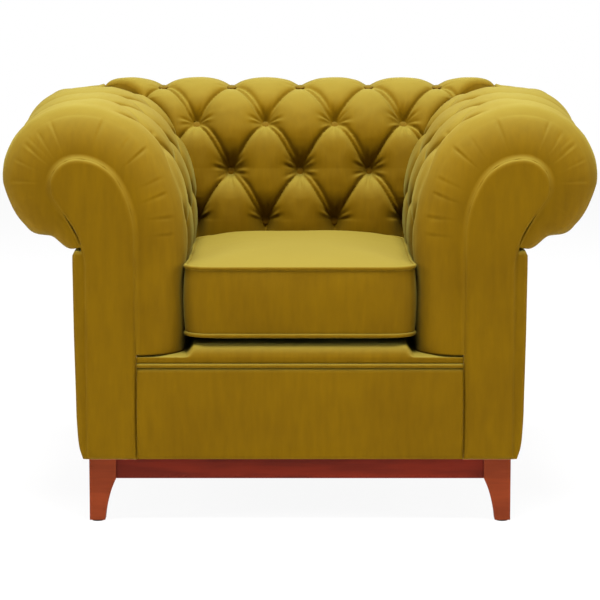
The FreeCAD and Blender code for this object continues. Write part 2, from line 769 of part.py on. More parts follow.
def rows(scroll):
    """The run along the board's outline of each row of a section."""
    off = scroll.roll_pad
    first = run_at_height(scroll, size("low_row"), off)
    bottom = FOOT - scroll.lean_start
    pitch = size("row_pitch")
    tufts = [first, first + pitch, first + 2 * pitch, first + 2 * pitch + size("crown_pitch")]
    rest = scroll.length(off) - tufts[-1]
    roll = [tufts[-1] + rest * share for share in (0.26, 0.5, 0.75, 1.0)]
    return [bottom, (bottom + first) / 2] + tufts + roll


def run_at_height(scroll, height, off):
    """The run where the outline off outwards is at a height of the inner face."""
    if height <= scroll.lean_start:
        return height - scroll.lean_start
    angle = math.asin((height - scroll.lean_start) / (scroll.lean_radius + off))
    return angle * (scroll.lean_radius + off)


def is_button(row, column):
    """Buttons stand on every other row of a column, like the fields of a chessboard."""
    return FIRST_TUFT <= row <= LAST_TUFT and (row + column) % 2 == 0


def thickness(scroll, row, column, puff):
    """The upholstery's thickness at a row and a column. Puff is 0 where no tuft is drawn in."""
    if column % 1:
        beside = [thickness(scroll, row, column + step, puff) for step in (-0.5, 0.5)]
        return sum(beside) / 2 + size("fullness") * puff * (row > 0)
    pad, roll, under = scroll.pad, scroll.roll_pad, size("under_roll_pad")
    side = roll - arm.roll_pad + size("side_roll_pad")
    base = [pad, pad, pad, pad, (pad + roll) / 2, roll, roll, roll, side, under][row]
    if is_button(row, column):
        # The buttons of the upper rows are drawn in less.
        change = -size("tuft_depth") * (1.0, 1.0, 0.76, 0.35)[row - FIRST_TUFT]
    elif row < FIRST_TUFT:
        change = 0.0
    elif row <= LAST_TUFT:
        # The pillows by the cushion are squeezed flat.
        change = size("tuft_rise") * (0.25, 0.8, 1.0, 1.0)[row - FIRST_TUFT]
    else:
        change = size("roll_rise") if column % 2 == 0 else 0.0
    return base + change * puff


def skin_nodes(scroll, column, puff, share):
    """Points and normals of a section. Share draws them in towards the board."""
    thin = 8 * GAP

    def drawn(depth):
        return thin + (depth - thin) * share

    nodes = []
    for row, run in enumerate(rows(scroll)):
        (u, z), normal = scroll.station(run, scroll.roll_pad)
        depth = drawn(thickness(scroll, row, column, puff))
        nodes.append((u + normal[0] * depth, z + normal[1] * depth, normal))
    normal = (math.cos(scroll.slope), -math.sin(scroll.slope))
    nodes.append((*scroll.neck_point(drawn(size("neck_pad"))), normal))
    tuck = math.radians(size("tuck_angle"))
    end = scroll.hollow(drawn(size("tuck_pad")), tuck)[-1]
    nodes.append((*end, (math.cos(tuck), -math.sin(tuck))))
    return nodes


def skin_pieces(nodes):
    """Arcs through the nodes of a section, each a little fuller than a straight line."""
    found = []
    for row, ((u0, z0, n0), (u1, z1, n1)) in enumerate(zip(nodes, nodes[1:])):
        length = math.hypot(u1 - u0, z1 - z0)
        bend = abs(n0[0] * n1[1] - n0[1] * n1[0])
        fullness = 0.008 if row < FIRST_TUFT else 0.035
        lift = length * (fullness + bend / 8)
        nu, nz = (n0[0] + n1[0]) / 2, (n0[1] + n1[1]) / 2
        middle = ((u0 + u1) / 2 + nu * lift, (z0 + z1) / 2 + nz * lift)
        found.append([(u0, z0), middle, (u1, z1)])
    return found


def section(scroll, put, column, puff=1.0, share=1.0):
    """A closed section of the upholstery at a column of buttons."""
    skin = skin_pieces(skin_nodes(scroll, column, puff, share))
    inside = scroll.pieces(GAP, FOOT) + [scroll.hollow(GAP, math.radians(size("tuck_angle")))]
    return wire(closed(skin, inside), put)


def hollowed(scroll, put, travel, pad):
    """Upholstery with room for the foam, the bent board and the webbing under it."""
    deep = FOOT - 5.0
    room_inside = layer(scroll, put, travel, -1.0, FOAM_OUT + GAP, deep, FOAM_END - 1.0)
    board_room = layer(scroll, put, travel, -1.0, FOAM_IN, deep, BOARD_END - 1.0)
    return pad.cut(room_inside).cut(board_room)


def halves(low, high):
    """Numbers from low to high in steps of a half."""
    return [low + n / 2 for n in range(2 * (high - low) + 1)]


def arm_column(n):
    """Y of a column of buttons on the arms."""
    return size("first_column") + n * size("arm_pitch")


arm_end = math.ceil((AXIS_Y - size("first_column")) / size("arm_pitch"))
sections = []
for share in (0.0, 0.06, 0.2, 0.45):
    place = FRONT + GAP + share * size("front_swell")
    full = 0.12 if share == 0.0 else math.sqrt(1 - (1 - share) ** 2)
    sections.append(section(arm, across(place), 1, 0.0, full))
sections += [section(arm, across(arm_column(n)), n) for n in halves(0, arm_end)]
arm_pad = Part.makeLoft(sections, True, True).common(ARM_SIDE)
arm_pad = hollowed(arm, across(arm_start), arm_travel, arm_pad)

back_reach = math.ceil(AXIS_X / size("back_pitch")) + 1
sections = [
    section(back, along(n * size("back_pitch")), n + 1) for n in halves(-back_reach, back_reach)
]
back_pad = Part.makeLoft(sections, True, True).common(BACK_SIDE)
back_pad = hollowed(back, along(-FAR), back_travel, back_pad)


def spun(outline, put, centre, angle):
    """A closed outline turned round an upright axis."""
    solid = Part.Face(wire(outline, put)).revolve(centre, Vector(0, 0, 1), angle)
    if solid.Volume < 0:
        solid.reverse()
    return solid


# Covered buttons, and the pits they are drawn into.
def button_shape():
    """A button standing on the origin, its dome up."""
    radius, rise = size("button_radius"), size("button_rise")
    rim = rise * 0.3
    dome = rise - rim
    ball = ((radius - 0.2) ** 2 + dome**2) / (2 * dome)
    base = Part.makeCylinder(radius, rim)
    cap = Part.makeSphere(ball, Vector(0, 0, rise - ball))
    over = Part.makeBox(4 * radius, 4 * radius, rise, Vector(-2 * radius, -2 * radius, rim))
    return base.fuse(cap.common(over))


def button_places(scroll, place, columns):
    """Where buttons stand: base points and outward directions."""
    found = []
    for column, at in columns:
        for row, run in enumerate(rows(scroll)):
            if not is_button(row, column):
                continue
            (u, z), normal = scroll.station(run, scroll.roll_pad)
            depth = thickness(scroll, row, column, 1.0)
            base = place(at)((u + normal[0] * depth, z + normal[1] * depth))
            out = place(0.0)(normal)
            if mitre_room(base) > size("button_margin"):
                found.append((base, out))
    return found


def mitre_room(point):
    """How far a point is from the nearer mitre plane."""
    slope = mitre_slope()
    forward = point.y - (AXIS_Y - slope * (AXIS_X - abs(point.x)))
    return abs(forward) / math.hypot(1, slope)


def set_at(shape, base, out):
    """A shape stood at a base point, its Z axis turned outwards."""
    turned = shape.copy()
    turned.Placement = FreeCAD.Placement(base, Rotation(Vector(0, 0, 1), out))
    return turned


def fitted(pad, places):
    """The upholstery with its button pits, and the buttons in them."""
    deep = 2 * size("tuft_depth")
    pit = Part.makeCylinder(size("button_radius") + GAP, deep, Vector(0, 0, -2 * GAP))
    buttons = []
    for base, out in places:
        pad = pad.cut(set_at(pit, base, out))
        buttons.append(set_at(button_shape(), base, out))
    return pad, Part.makeCompound(buttons)


arm_places = [
    (base, out)
    for base, out in button_places(arm, across, [(n, arm_column(n)) for n in range(arm_end + 1)])
    if base.y < AXIS_Y - mitre_slope() * (AXIS_X - base.x)
]
arm_pad, arm_buttons = fitted(arm_pad, arm_places)
columns = range(-back_reach, back_reach + 1)
back_places = [
    (base, out)
    for base, out in button_places(back, along, [(n + 1, n * size("back_pitch")) for n in columns])
    if base.y > AXIS_Y - mitre_slope() * (AXIS_X - abs(base.x))
]
back_pad, back_buttons = fitted(back_pad, back_places)
parts.append(feature("arm_upholstery_left", mirrored(arm_pad)))
parts.append(feature("arm_upholstery_right", arm_pad))
parts.append(feature("back_upholstery", back_pad))
parts.append(feature("arm_buttons_left", mirrored(arm_buttons)))
parts.append(feature("arm_buttons_right", arm_buttons))
parts.append(feature("back_buttons", back_buttons))


# Rear corners: the rolls of the arm and the back meet in a gathered quarter turn.
def radial(angle):
    """Puts an outline's points in an upright plane through the corner's axis."""
    open_heart, outermost = size("corner_heart"), arm.head + back.roll_pad
    turned = math.radians(angle)

    def put(point):
        reach = open_heart + (point[0] - arm.axis) * (1 - open_heart / outermost)
        x = AXIS_X + reach * math.cos(turned)
        y = AXIS_Y + reach * math.sin(turned)
        return Vector(x + GAP / 2, y + GAP / 2, point[1])

    return put


def corner_section(angle, swell):
    """A section of the corner's upholstery, between the arm's thickness and the back's."""
    way = angle / 90
    roll = arm.roll_pad + (back.roll_pad - arm.roll_pad) * way + swell
    nodes = []
    side = roll - arm.roll_pad + size("side_roll_pad")
    under = size("under_roll_pad")
    for turned, depth in ((90, roll), (62, roll), (33, roll), (4, side), (-35, under)):
        reach = arm.head + depth
        normal = (math.cos(math.radians(turned)), math.sin(math.radians(turned)))
        u, z = arm.head_centre
        nodes.append((u + reach * normal[0], z + reach * normal[1], normal))
    normal = (math.cos(arm.slope), -math.sin(arm.slope))
    nodes.append((*arm.neck_point(size("neck_pad")), normal))
    tuck = math.radians(size("tuck_angle"))
    end = arm.hollow(size("tuck_pad"), tuck)[-1]
    nodes.append((*end, (math.cos(tuck), -math.sin(tuck))))
    inside = [
        turn(arm.head_centre, arm.head + GAP, math.pi / 2, -arm.slope),
        [turn(arm.head_centre, arm.head + GAP, 0, -arm.slope)[-1], arm.neck_point(GAP)],
        arm.hollow(GAP, tuck),
    ]
    return wire(closed(skin_pieces(nodes), inside), radial(angle))


def corner_core(outer):
    """The quarter turn under the corner's upholstery, out to a distance from its axis."""
    arc = turn(arm.head_centre, outer, math.pi / 2, math.radians(FOAM_END))
    low = arc[-1]
    outline = [arc, [low, (AXIS_X, low[1])], [(AXIS_X, low[1]), arc[0]]]
    return spun(outline, across(AXIS_Y), Vector(AXIS_X, AXIS_Y, 0), 90)


steps = 8
sections = []
for n in range(steps + 1):
    swell = size("roll_rise") * (0.0, 0.65, 1.0, 0.65)[n % 4]
    sections.append(corner_section(90 * n / steps, swell))
corner_pad = Part.makeLoft(sections, True, True)
corner_side = plan(
    [
        (AXIS_X + GAP / 2, AXIS_Y + GAP / 2),
        (AXIS_X + FAR, AXIS_Y + GAP / 2),
        (AXIS_X + FAR, AXIS_Y + FAR),
        (AXIS_X + GAP / 2, AXIS_Y + FAR),
    ],
    0,
    TALL,
)
crest = arm.head + FOAM_OUT
corner_pad = corner_pad.common(corner_side).cut(corner_core(crest + GAP))
parts.append(feature("corner_upholstery_left", mirrored(corner_pad)))
parts.append(feature("corner_upholstery_right", corner_pad))
rail_room = room(
    (AXIS_X - half_rail - GAP, AXIS_X + half_rail + GAP),
    (-FAR, AXIS_Y + half_rail + GAP),
    (rail_low - GAP, rail_low + size("top_rail_height") + GAP),
)
corner_foam = corner_core(crest).common(corner_side).cut(rail_room)
both = Part.makeCompound([mirrored(corner_foam), corner_foam])
parts.append(feature("corner_foams", both))

# Scroll facings in front of the arm boards.
inset = -size("facing_inset")
outline = closed(arm.pieces(inset, BASE) + arm.below_neck(inset, BASE))
facing_front = FRONT - size("facing_thick")
facing = prism(outline, across(facing_front), Vector(0, size("facing_thick"), 0))
rim = [
    edge
    for edge in facing.Edges
    if edge.BoundBox.YMax < facing_front + GAP and edge.BoundBox.ZMax > BASE + GAP
]
facing = facing.makeFillet(size("facing_round"), rim)
parts.append(feature("facing_left", mirrored(facing)))
parts.append(feature("facing_right", facing))


# Outside panels, pulled in at the bottom and tucked in under the scrolls at the top.
def panel_pieces(scroll):
    """The closed section of an outside panel."""
    top, low, out = size("panel_top"), BASE, scroll.outer + size("panel_swell")
    shelf = math.asin((top - scroll.neck_centre[1]) / (scroll.neck - GAP))
    bend = scroll.hollow(GAP, 0.0)
    tip = turn(scroll.neck_centre, scroll.neck - GAP, math.pi - shelf, math.pi)
    side = top - low
    shoulder = (out, low + 0.9 * side)
    belly = (out - 1, low + 0.5 * side)
    hip = (out - 6, low + 0.13 * side)
    edge = scroll.outer + GAP + size("panel_edge")
    return [
        [(scroll.outer + GAP, low), bend[-1]],
        tip[::-1],
        [tip[0], (tip[0][0] + size("tuck_pad") - 2, top)],
        [(tip[0][0] + size("tuck_pad") - 2, top), shoulder],
        [shoulder, (out + 0.8, low + 0.7 * side), belly],
        [belly, (out - 2.6, low + 0.31 * side), hip],
        [hip, (out - 8.5, low + 0.05 * side), (edge, low)],
        [(edge, low), (scroll.outer + GAP, low)],
    ]


side_panel = prism(panel_pieces(arm), across(FRONT), Vector(0, REAR - FRONT, 0))
corner = Part.Face(wire(panel_pieces(arm), across(REAR)))
corner = corner.revolve(Vector(arm.outer, REAR, 0), Vector(0, 0, 1), 90)
side_panel = side_panel.fuse(corner).removeSplitter()
parts.append(feature("outside_panel_left", mirrored(side_panel)))
parts.append(feature("outside_panel_right", side_panel))
panel_end = arm.outer - GAP
back_panel = prism(panel_pieces(back), along(-panel_end), Vector(2 * panel_end, 0, 0))
parts.append(feature("outside_panel_back", back_panel))


# Seat: front border, piping, deck, springs and felt.
def side_view(points):
    """A closed outline of (y, z) points and arcs, pushed across the seat between the arms."""
    half = arm.inner - GAP
    return prism(points, along(-half), Vector(2 * half, 0, 0))


apron_back = arm_start - GAP
apron_front = arm_start - size("apron_thick")
piping_z = size("piping_height")
apron_top = piping_z - size("piping_radius") - GAP
bulge = (apron_front - 3, (BASE + apron_top) / 2)
apron = side_view(
    [
        [(apron_back, BASE), (apron_back, apron_top)],
        [(apron_back, apron_top), (apron_front, apron_top)],
        [(apron_front, apron_top), bulge, (apron_front + 3, BASE)],
        [(apron_front + 3, BASE), (apron_back, BASE)],
    ]
)
parts.append(feature("front_border", apron))
piping_y = apron_front + size("piping_radius") - 1
half = arm.inner - GAP
front_piping = Part.makeCylinder(
    size("piping_radius"), 2 * half, Vector(-half, piping_y, piping_z), Vector(1, 0, 0)
)
parts.append(feature("front_piping", front_piping))

wire_radius = size("spring_wire") / 2
wire_z = size("rail_top") + size("clip_floor") + GAP / 2 + wire_radius
felt_low = wire_z + wire_radius + GAP
felt_top = felt_low + size("felt_thick")
deck_low = felt_top + GAP
seat_end = back.inner - 2 * GAP
deck_top, deck_edge = size("deck_top"), size("deck_edge")
ledge = piping_z + size("piping_radius") + GAP
bend = size("edge_round")
nose = apron_front + 1
deck_end = back.inner - back.pad - 10
deck = side_view(
    [
        [(nose, ledge), (apron_back, ledge)],
        [(apron_back, ledge), (apron_back, deck_low)],
        [(apron_back, deck_low), (seat_end, deck_low)],
        [(seat_end, deck_low), (seat_end, deck_edge)],
        [(seat_end, deck_edge), (deck_end + 4, deck_edge)],
        [(deck_end + 4, deck_edge), (deck_end - 24, deck_top)],
        [(deck_end - 24, deck_top), (nose + bend, deck_top)],
        turn((nose + bend, deck_top - bend), bend, math.pi / 2, math.pi),
        [(nose, deck_top - bend), (nose, ledge)],
    ]
)
slope_out = arm.inner - arm.pad - size("fullness") - 1
slope_in = slope_out - 20
crowned = [
    (-half, ledge - 1),
    (-half, deck_edge),
    (-slope_out, deck_edge),
    (-slope_in, deck_top),
    (slope_in, deck_top),
    (slope_out, deck_edge),
    (half, deck_edge),
    (half, ledge - 1),
]
corners = [Vector(x, FRONT - 50, z) for x, z in crowned]
crowned = Part.Face(Part.makePolygon(corners + corners[:1])).extrude(Vector(0, FAR, 0))
parts.append(feature("seat_deck", deck.common(crowned)))
rail_in = REAR - size("rail_thick")
parts.append(
    feature(
        "seat_felt",
        room((-size("felt_half"), size("felt_half")), (arm_start, seat_end), (felt_low, felt_top)),
    )
)


def spring_path(middle):
    """The snaking centre line of a seat spring: straight runs joined by half turns."""
    bend_radius = size("spring_bend")
    reach = size("spring_width") / 2 - bend_radius
    start = arm_start + size("rail_thick") / 2
    end = rail_in + size("rail_thick") / 2
    turns = int((end - start) / (2 * bend_radius))
    start = (start + end) / 2 - turns * bend_radius
    side = 1
    edges = []
    here = Vector(middle, start, wire_z)
    for n in range(turns):
        corner = Vector(middle + side * reach, here.y, wire_z)
        tip = Vector(corner.x + side * bend_radius, here.y + bend_radius, wire_z)
        after = Vector(corner.x, here.y + 2 * bend_radius, wire_z)
        edges.append(Part.LineSegment(here, corner).toShape())
        edges.append(Part.Arc(corner, tip, after).toShape())
        here = after
        side = -side
    edges.append(Part.LineSegment(here, Vector(middle, here.y, wire_z)).toShape())
    return Part.Wire(edges)


springs = []
clips = []
count = int(size("spring_count"))
for n in range(count):
    middle = (n - (count - 1) / 2) * size("spring_pitch")
    path = spring_path(middle)
    first = path.OrderedVertexes[0].Point
    last = path.OrderedVertexes[-1].Point
    ring = Part.Wire(Part.makeCircle(wire_radius, first, Vector(1, 0, 0)))
    springs.append(path.makePipeShell([ring], True, False))
    for point in (first, last):
        clip = room(
            (middle - 3, middle + 3),
            (point.y - wire_radius - 3, point.y + wire_radius + 3),
            (size("rail_top"), wire_z),
        )
        bore = Part.makeCylinder(
            wire_radius + GAP / 2, 20, point - Vector(10, 0, 0), Vector(1, 0, 0)
        )
        clips.append(clip.cut(bore))
parts.append(feature("seat_springs", Part.makeCompound(springs)))
parts.append(feature("spring_clips", Part.makeCompound(clips)))


# Loose cushion: a foam core in a border with piping at both edges and crowned panels.
cushion_half = arm.inner - arm.pad - size("cushion_room")
cushion_back = back.inner - back.pad - size("cushion_back_room")
cushion_y = (size("cushion_front") + cushion_back) / 2
cushion_half_y = (cushion_back - size("cushion_front")) / 2


def rounded(inset, height):
    """The cushion's outline at a height, as a wire with round corners."""
    x, y = cushion_half - inset, cushion_half_y - inset
    bend = max(size("cushion_corner") - inset * 0.8, 12.0)
    k = bend * (1 - math.sqrt(0.5))
    z = height
    corners = []
    for sx, sy in ((1, 1), (-1, 1), (-1, -1), (1, -1)):
        ends = [
            Vector(sx * x, cushion_y + sy * (y - bend), z),
            Vector(sx * (x - k), cushion_y + sy * (y - k), z),
            Vector(sx * (x - bend), cushion_y + sy * y, z),
        ]
        corners.append(ends if sx * sy > 0 else ends[::-1])
    edges = []
    for ends, after in zip(corners, corners[1:] + corners[:1]):
        edges.append(Part.Arc(*ends).toShape())
        edges.append(Part.LineSegment(ends[2], after[0]).toShape())
    return Part.Wire(edges)


def stack(levels):
    """A solid through the cushion's outline at (inset, height) levels."""
    return Part.makeLoft([rounded(inset, height) for inset, height in levels], True, True)


seam_low, seam_high = size("cushion_seam_low"), size("cushion_seam_high")
cord = size("piping_radius")
edge_low = seam_low + cord + GAP
edge_high = seam_high - cord - GAP
middle = (edge_low + edge_high) / 2
swell, border = size("border_swell"), size("border_thick")
outside = stack([(0.0, edge_low), (-swell, middle), (0.0, edge_high)])
inside = stack([(border, edge_low - 1), (border, edge_high + 1)])
parts.append(feature("cushion_border", outside.cut(inside)))
core = stack([(border + GAP, edge_low), (border + GAP, edge_high)])
parts.append(feature("cushion_core", core))
crown = size("cushion_crown")
close = cord + 2 * GAP
base_high = edge_high + GAP
top_levels = [
    (close, base_high),
    (close + 1, seam_high + 0.10 * crown),
    (close + 6, seam_high + 0.32 * crown),
    (close + 18, seam_high + 0.56 * crown),
    (close + 40, seam_high + 0.76 * crown),
    (close + 72, seam_high + 0.89 * crown),
    (close + 110, seam_high + 0.97 * crown),
    (close + 150, seam_high + crown),
]
parts.append(feature("cushion_top", stack(top_levels)))
base_low = edge_low - GAP
floor = deck_top + size("cushion_rest")
drop = base_low - floor
low_levels = [
    (close, base_low),
    (close + 2, base_low - 0.45 * drop),
    (close + 14, base_low - 0.8 * drop),
    (close + 50, base_low - 0.96 * drop),
    (close + 120, floor),
]
parts.append(feature("cushion_underside", stack(low_levels)))
for label, height in (("cushion_piping_top", seam_high), ("cushion_piping_low", seam_low)):
    path = rounded(0.0, height)
    start = Vector(cushion_half, cushion_y, height)
    ring = Part.Wire(Part.makeCircle(cord, start, Vector(0, 1, 0)))
    parts.append(feature(label, path.makePipe(Part.Face(ring))))

zip_half, tape = size("zip_length") / 2, size("zip_tape")
zip_y = cushion_back + swell + GAP
zip_z = (seam_low + seam_high) / 2
zip_rise = size("zip_width") / 2
tape_shape = room((-zip_half, zip_half), (zip_y, zip_y + tape), (zip_z - zip_rise, zip_z + zip_rise))
parts.append(feature("zip_tape", tape_shape))
tooth_pitch, tooth = size("tooth_pitch"), size("tooth_size")
tooth_y = zip_y + tape
teeth = []
tooth_count = int((2 * zip_half - 10) / tooth_pitch)
for n in range(tooth_count):
    x = (n - (tooth_count - 1) / 2) * tooth_pitch
    side = 0.6 if n % 2 else -0.6
    teeth.append(
        room(
            (x - tooth_pitch * 0.3, x + tooth_pitch * 0.3),
            (tooth_y, tooth_y + tooth * 0.6),
            (zip_z - tooth + side, zip_z + tooth + side),
        )
    )
parts.append(feature("zip_teeth", Part.makeCompound(teeth)))
ease = 2 * GAP
slide_half = size("slider_width") / 2
slide_low = tooth_y + ease
slide_high = tooth_y + tooth * 0.6 + ease + 1.4
slide_rise = tooth + 0.6 + ease + 1.4
slide_x = zip_half - slide_half - 8
slider = room(
    (slide_x - slide_half, slide_x + slide_half),
    (slide_low, slide_high),
    (zip_z - slide_rise, zip_z + slide_rise),
)
channel = room(
    (slide_x - FAR, slide_x + FAR),
    (slide_low - 1, slide_high - 1.4),
    (zip_z - slide_rise + 1.4, zip_z + slide_rise - 1.4),
)
pull = room(
    (slide_x - 3, slide_x + 3),
    (slide_high - 0.2, slide_high + 1.3),
    (zip_z - slide_rise - 22, zip_z + slide_rise - 2),
)
hole = Part.makeCylinder(
    1.8, 6, Vector(slide_x, slide_high - 3, zip_z - slide_rise - 18), Vector(0, 1, 0)
)
slider = slider.cut(channel).fuse(pull.cut(hole))
parts.append(feature("zip_slider", slider))

doc.recompute()
for thing in doc.Objects:
    if "Invalid" in thing.State or "Error" in thing.State:
        raise RuntimeError(f"{thing.Label} failed: {thing.State}")
os.makedirs("parts", exist_ok=True)
for part in parts:
    if part.Shape.isNull() or not part.Shape.isValid():
        raise RuntimeError(f"{part.Label} has no sound shape")
    part.Shape.exportStep(f"parts/{part.Label}.step")
print(len(parts), "sub-parts written")
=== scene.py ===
"""Looks of a deep-buttoned club armchair: velvet upholstery over scroll arms, on a stained plinth.

The sizes in the classes below are millimetres, as in the part's source. Meshes are built in
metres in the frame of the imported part: X across the chair, -Y to the front, Z up. The section
of an arm or of the back lies in (u, z), where u runs outwards from the seat, and a "run" is the
way along its pleats, counted from where the upright inner face begins to lean.
"""

import json
import logging
import math
from dataclasses import dataclass
from enum import Enum

import bpy
import numpy as np
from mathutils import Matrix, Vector, noise

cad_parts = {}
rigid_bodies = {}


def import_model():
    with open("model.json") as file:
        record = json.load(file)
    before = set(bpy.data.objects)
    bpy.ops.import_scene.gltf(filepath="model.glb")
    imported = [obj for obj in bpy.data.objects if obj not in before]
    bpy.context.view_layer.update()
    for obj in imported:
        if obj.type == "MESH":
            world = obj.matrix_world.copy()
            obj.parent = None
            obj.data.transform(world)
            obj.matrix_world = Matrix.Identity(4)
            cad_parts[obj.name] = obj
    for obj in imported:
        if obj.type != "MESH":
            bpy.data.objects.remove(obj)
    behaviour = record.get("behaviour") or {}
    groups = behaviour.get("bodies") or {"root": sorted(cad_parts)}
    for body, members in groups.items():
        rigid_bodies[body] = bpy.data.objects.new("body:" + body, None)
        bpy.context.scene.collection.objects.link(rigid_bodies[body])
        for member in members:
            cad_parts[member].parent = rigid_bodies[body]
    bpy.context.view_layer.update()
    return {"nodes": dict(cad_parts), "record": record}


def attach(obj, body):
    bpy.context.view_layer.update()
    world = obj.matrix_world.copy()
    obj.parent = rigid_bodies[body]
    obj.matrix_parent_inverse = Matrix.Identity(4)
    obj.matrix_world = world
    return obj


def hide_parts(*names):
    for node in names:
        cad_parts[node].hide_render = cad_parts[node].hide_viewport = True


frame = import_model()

log = logging.getLogger("armchair")

Thing = bpy.types.Object
Tree = bpy.types.NodeTree
Socket = bpy.types.NodeSocket

MM = 0.001
FRONT = -443.0
PLINTH_TOP = 120.4
ROWS = (2, 3, 4, 5)
FIRST_COLUMN = -311.5
COLOUR_SHARE = 0.55


class Body(Enum):
    """The bodies of the part that carry upholstery."""

    CHAIR = "chair"
    CUSHION = "cushion"


class Slot(Enum):
    """The material slots of the upholstery."""

    VELVET = "velvet"
    BUTTONS = "velvet_buttons"
    PIPING = "velvet_piping"


class Side(Enum):
    """The two sides of the chair, as seen from the front."""

    RIGHT = "right"
    LEFT = "left"


def nothing_selected() -> None:
    """Deselects every object, so that an operator acts on its own piece alone."""
    for thing in bpy.data.objects:
        thing.select_set(False)


def make_active(thing: Thing) -> None:
    """Selects one object alone and makes it the active one.

    Args:
        thing: the object.
    """
    nothing_selected()
    thing.select_set(True)
    bpy.context.view_layer.objects.active = thing


def mesh_object(name: str, points: np.ndarray, faces: list) -> Thing:
    """Makes a smooth-shaded object from points in millimetres.

    Args:
        name: the piece's name.
        points: an array of x, y, z rows.
        faces: lists of point numbers.

    Returns:
        The new object, with its place in its mesh.
    """
    mesh = bpy.data.meshes.new(name)
    mesh.from_pydata((points * MM).tolist(), [], faces)
    mesh.polygons.foreach_set("use_smooth", [True] * len(mesh.polygons))
    mesh.update()
    thing = bpy.data.objects.new(name, mesh)
    bpy.context.scene.collection.objects.link(thing)
    return thing


def outwards(thing: Thing) -> None:
    """Turns all faces of a closed piece outwards.

    Args:
        thing: the piece.
    """
    make_active(thing)
    bpy.ops.object.mode_set(mode="EDIT")
    bpy.ops.mesh.select_all(action="SELECT")
    bpy.ops.mesh.normals_make_consistent(inside=False)
    bpy.ops.object.mode_set(mode="OBJECT")


def tube_faces(rings: int, around: int, start: int = 0) -> list:
    """Faces between rings of points, each ring closed on itself.

    Args:
        rings: the number of rings.
        around: the points of each ring.
        start: the number of the first point.

    Returns:
        The faces, as point numbers.
    """
    found = []
    for low in range(start, start + (rings - 1) * around, around):
        for step in range(around):
            after = (step + 1) % around
            found.append((low + step, low + after, low + around + after, low + around + step))
    return found


def capped_tube(name: str, rings: list) -> Thing:
    """A closed skin through rings of points, with both ends closed.

    Args:
        name: the piece's name.
        rings: arrays of x, y, z rows, all of one length.

    Returns:
        The new object.
    """
    count, around = len(rings), len(rings[0])
    last = (count - 1) * around
    faces = tube_faces(count, around)
    faces.append(tuple(range(around))[::-1])
    faces.append(tuple(range(last, last + around)))
    thing = mesh_object(name, np.vstack(rings), faces)
    outwards(thing)
    return thing


def mirrored_copy(thing: Thing, name: str) -> Thing:
    """A copy on the other side of the chair, with a mesh of its own.

    Args:
        thing: the piece to copy.
        name: the copy's name.

    Returns:
        The copy.
    """
    copy = thing.copy()
    copy.data = thing.data.copy()
    copy.name = copy.data.name = name
    bpy.context.scene.collection.objects.link(copy)
    copy.scale.x = -1
    make_active(copy)
    bpy.ops.object.transform_apply(location=True, rotation=True, scale=True)
    outwards(copy)
    return copy


def ripple(points: np.ndarray, size: float, seed: float) -> np.ndarray:
    """Smooth noise from -1 to 1 at points in millimetres, with features of a size."""
    shift = Vector((seed, seed * 1.7, seed * 0.6))
    return np.array([noise.noise(Vector(p) / size + shift) for p in points.tolist()])


def smooth_step(value: np.ndarray, low: float, high: float) -> np.ndarray:
    """0 below low, 1 above high and a smooth rise between."""
    share = np.clip((value - low) / (high - low), 0.0, 1.0)
    return share * share * (3 - 2 * share)


def upright(
    u: np.ndarray, z: np.ndarray, along: np.ndarray | float, across: bool = False
) -> np.ndarray:
    """Section points placed in the chair.

    Args:
        u: how far outwards each point is.
        z: how high each point is.
        along: where each point is along the roll.
        across: whether the roll runs across the chair, as the back's does.

    Returns:
        An array of x, y, z rows.
    """
    along = np.broadcast_to(along, u.shape)
    return np.column_stack([along, u, z] if across else [u, along, z])


def unit(ways: np.ndarray) -> np.ndarray:
    """Rows of vectors, each brought to length one."""
    return ways / np.linalg.norm(ways, axis=1)[:, None]


def walked_along(line: np.ndarray) -> np.ndarray:
    """How far a line has come at each of its points."""
    return np.concatenate([[0.0], np.cumsum(np.linalg.norm(np.diff(line, axis=0), axis=1))])


def evened(line: np.ndarray, walked: np.ndarray, even: np.ndarray) -> np.ndarray:
    """The points of a flat line at the distances in even."""
    return np.column_stack([np.interp(even, walked, line[:, k]) for k in (0, 1)])


def loop_normals(line: np.ndarray) -> np.ndarray:
    """The outward directions, in plan, at the points of a closed line."""
    ways = unit((np.roll(line, -1, axis=0) - np.roll(line, 1, axis=0))[:, :2])
    return np.column_stack([ways[:, 1], -ways[:, 0]])


def circle(count: int) -> np.ndarray:
    """Points round a circle of radius one."""
    turn = np.linspace(0, 2 * math.pi, count, endpoint=False)
    return np.column_stack([np.cos(turn), np.sin(turn)])


def spline(knots: list, count: int) -> np.ndarray:
    """A smooth line through points (Catmull-Rom).

    Args:
        knots: the points.
        count: about how many points the line gets.

    Returns:
        The line's points.
    """
    knots = [np.asarray(k, float) for k in knots]
    knots = [2 * knots[0] - knots[1]] + knots + [2 * knots[-1] - knots[-2]]
    found = []
    for a, b, c, d in zip(knots, knots[1:], knots[2:], knots[3:]):
        for t in np.linspace(0, 1, count // (len(knots) - 3), endpoint=False):
            bend = (2 * a - 5 * b + 4 * c - d) * t**2 + (3 * b - a - 3 * c + d) * t**3
            found.append(0.5 * (2 * b + (c - a) * t + bend))
    return np.array(found + [knots[-2]])


def feed(tree: Tree, node: bpy.types.Node, values: dict) -> None:
    """Fills a node's inputs, a value on the socket itself and a socket by a link.

    Args:
        tree: the node's tree.
        node: the node.
        values: values or sockets, by input name or number.
    """
    for label, value in values.items():
        if isinstance(value, Socket):
            tree.links.new(value, node.inputs[label])
        else:
            node.inputs[label].default_value = value


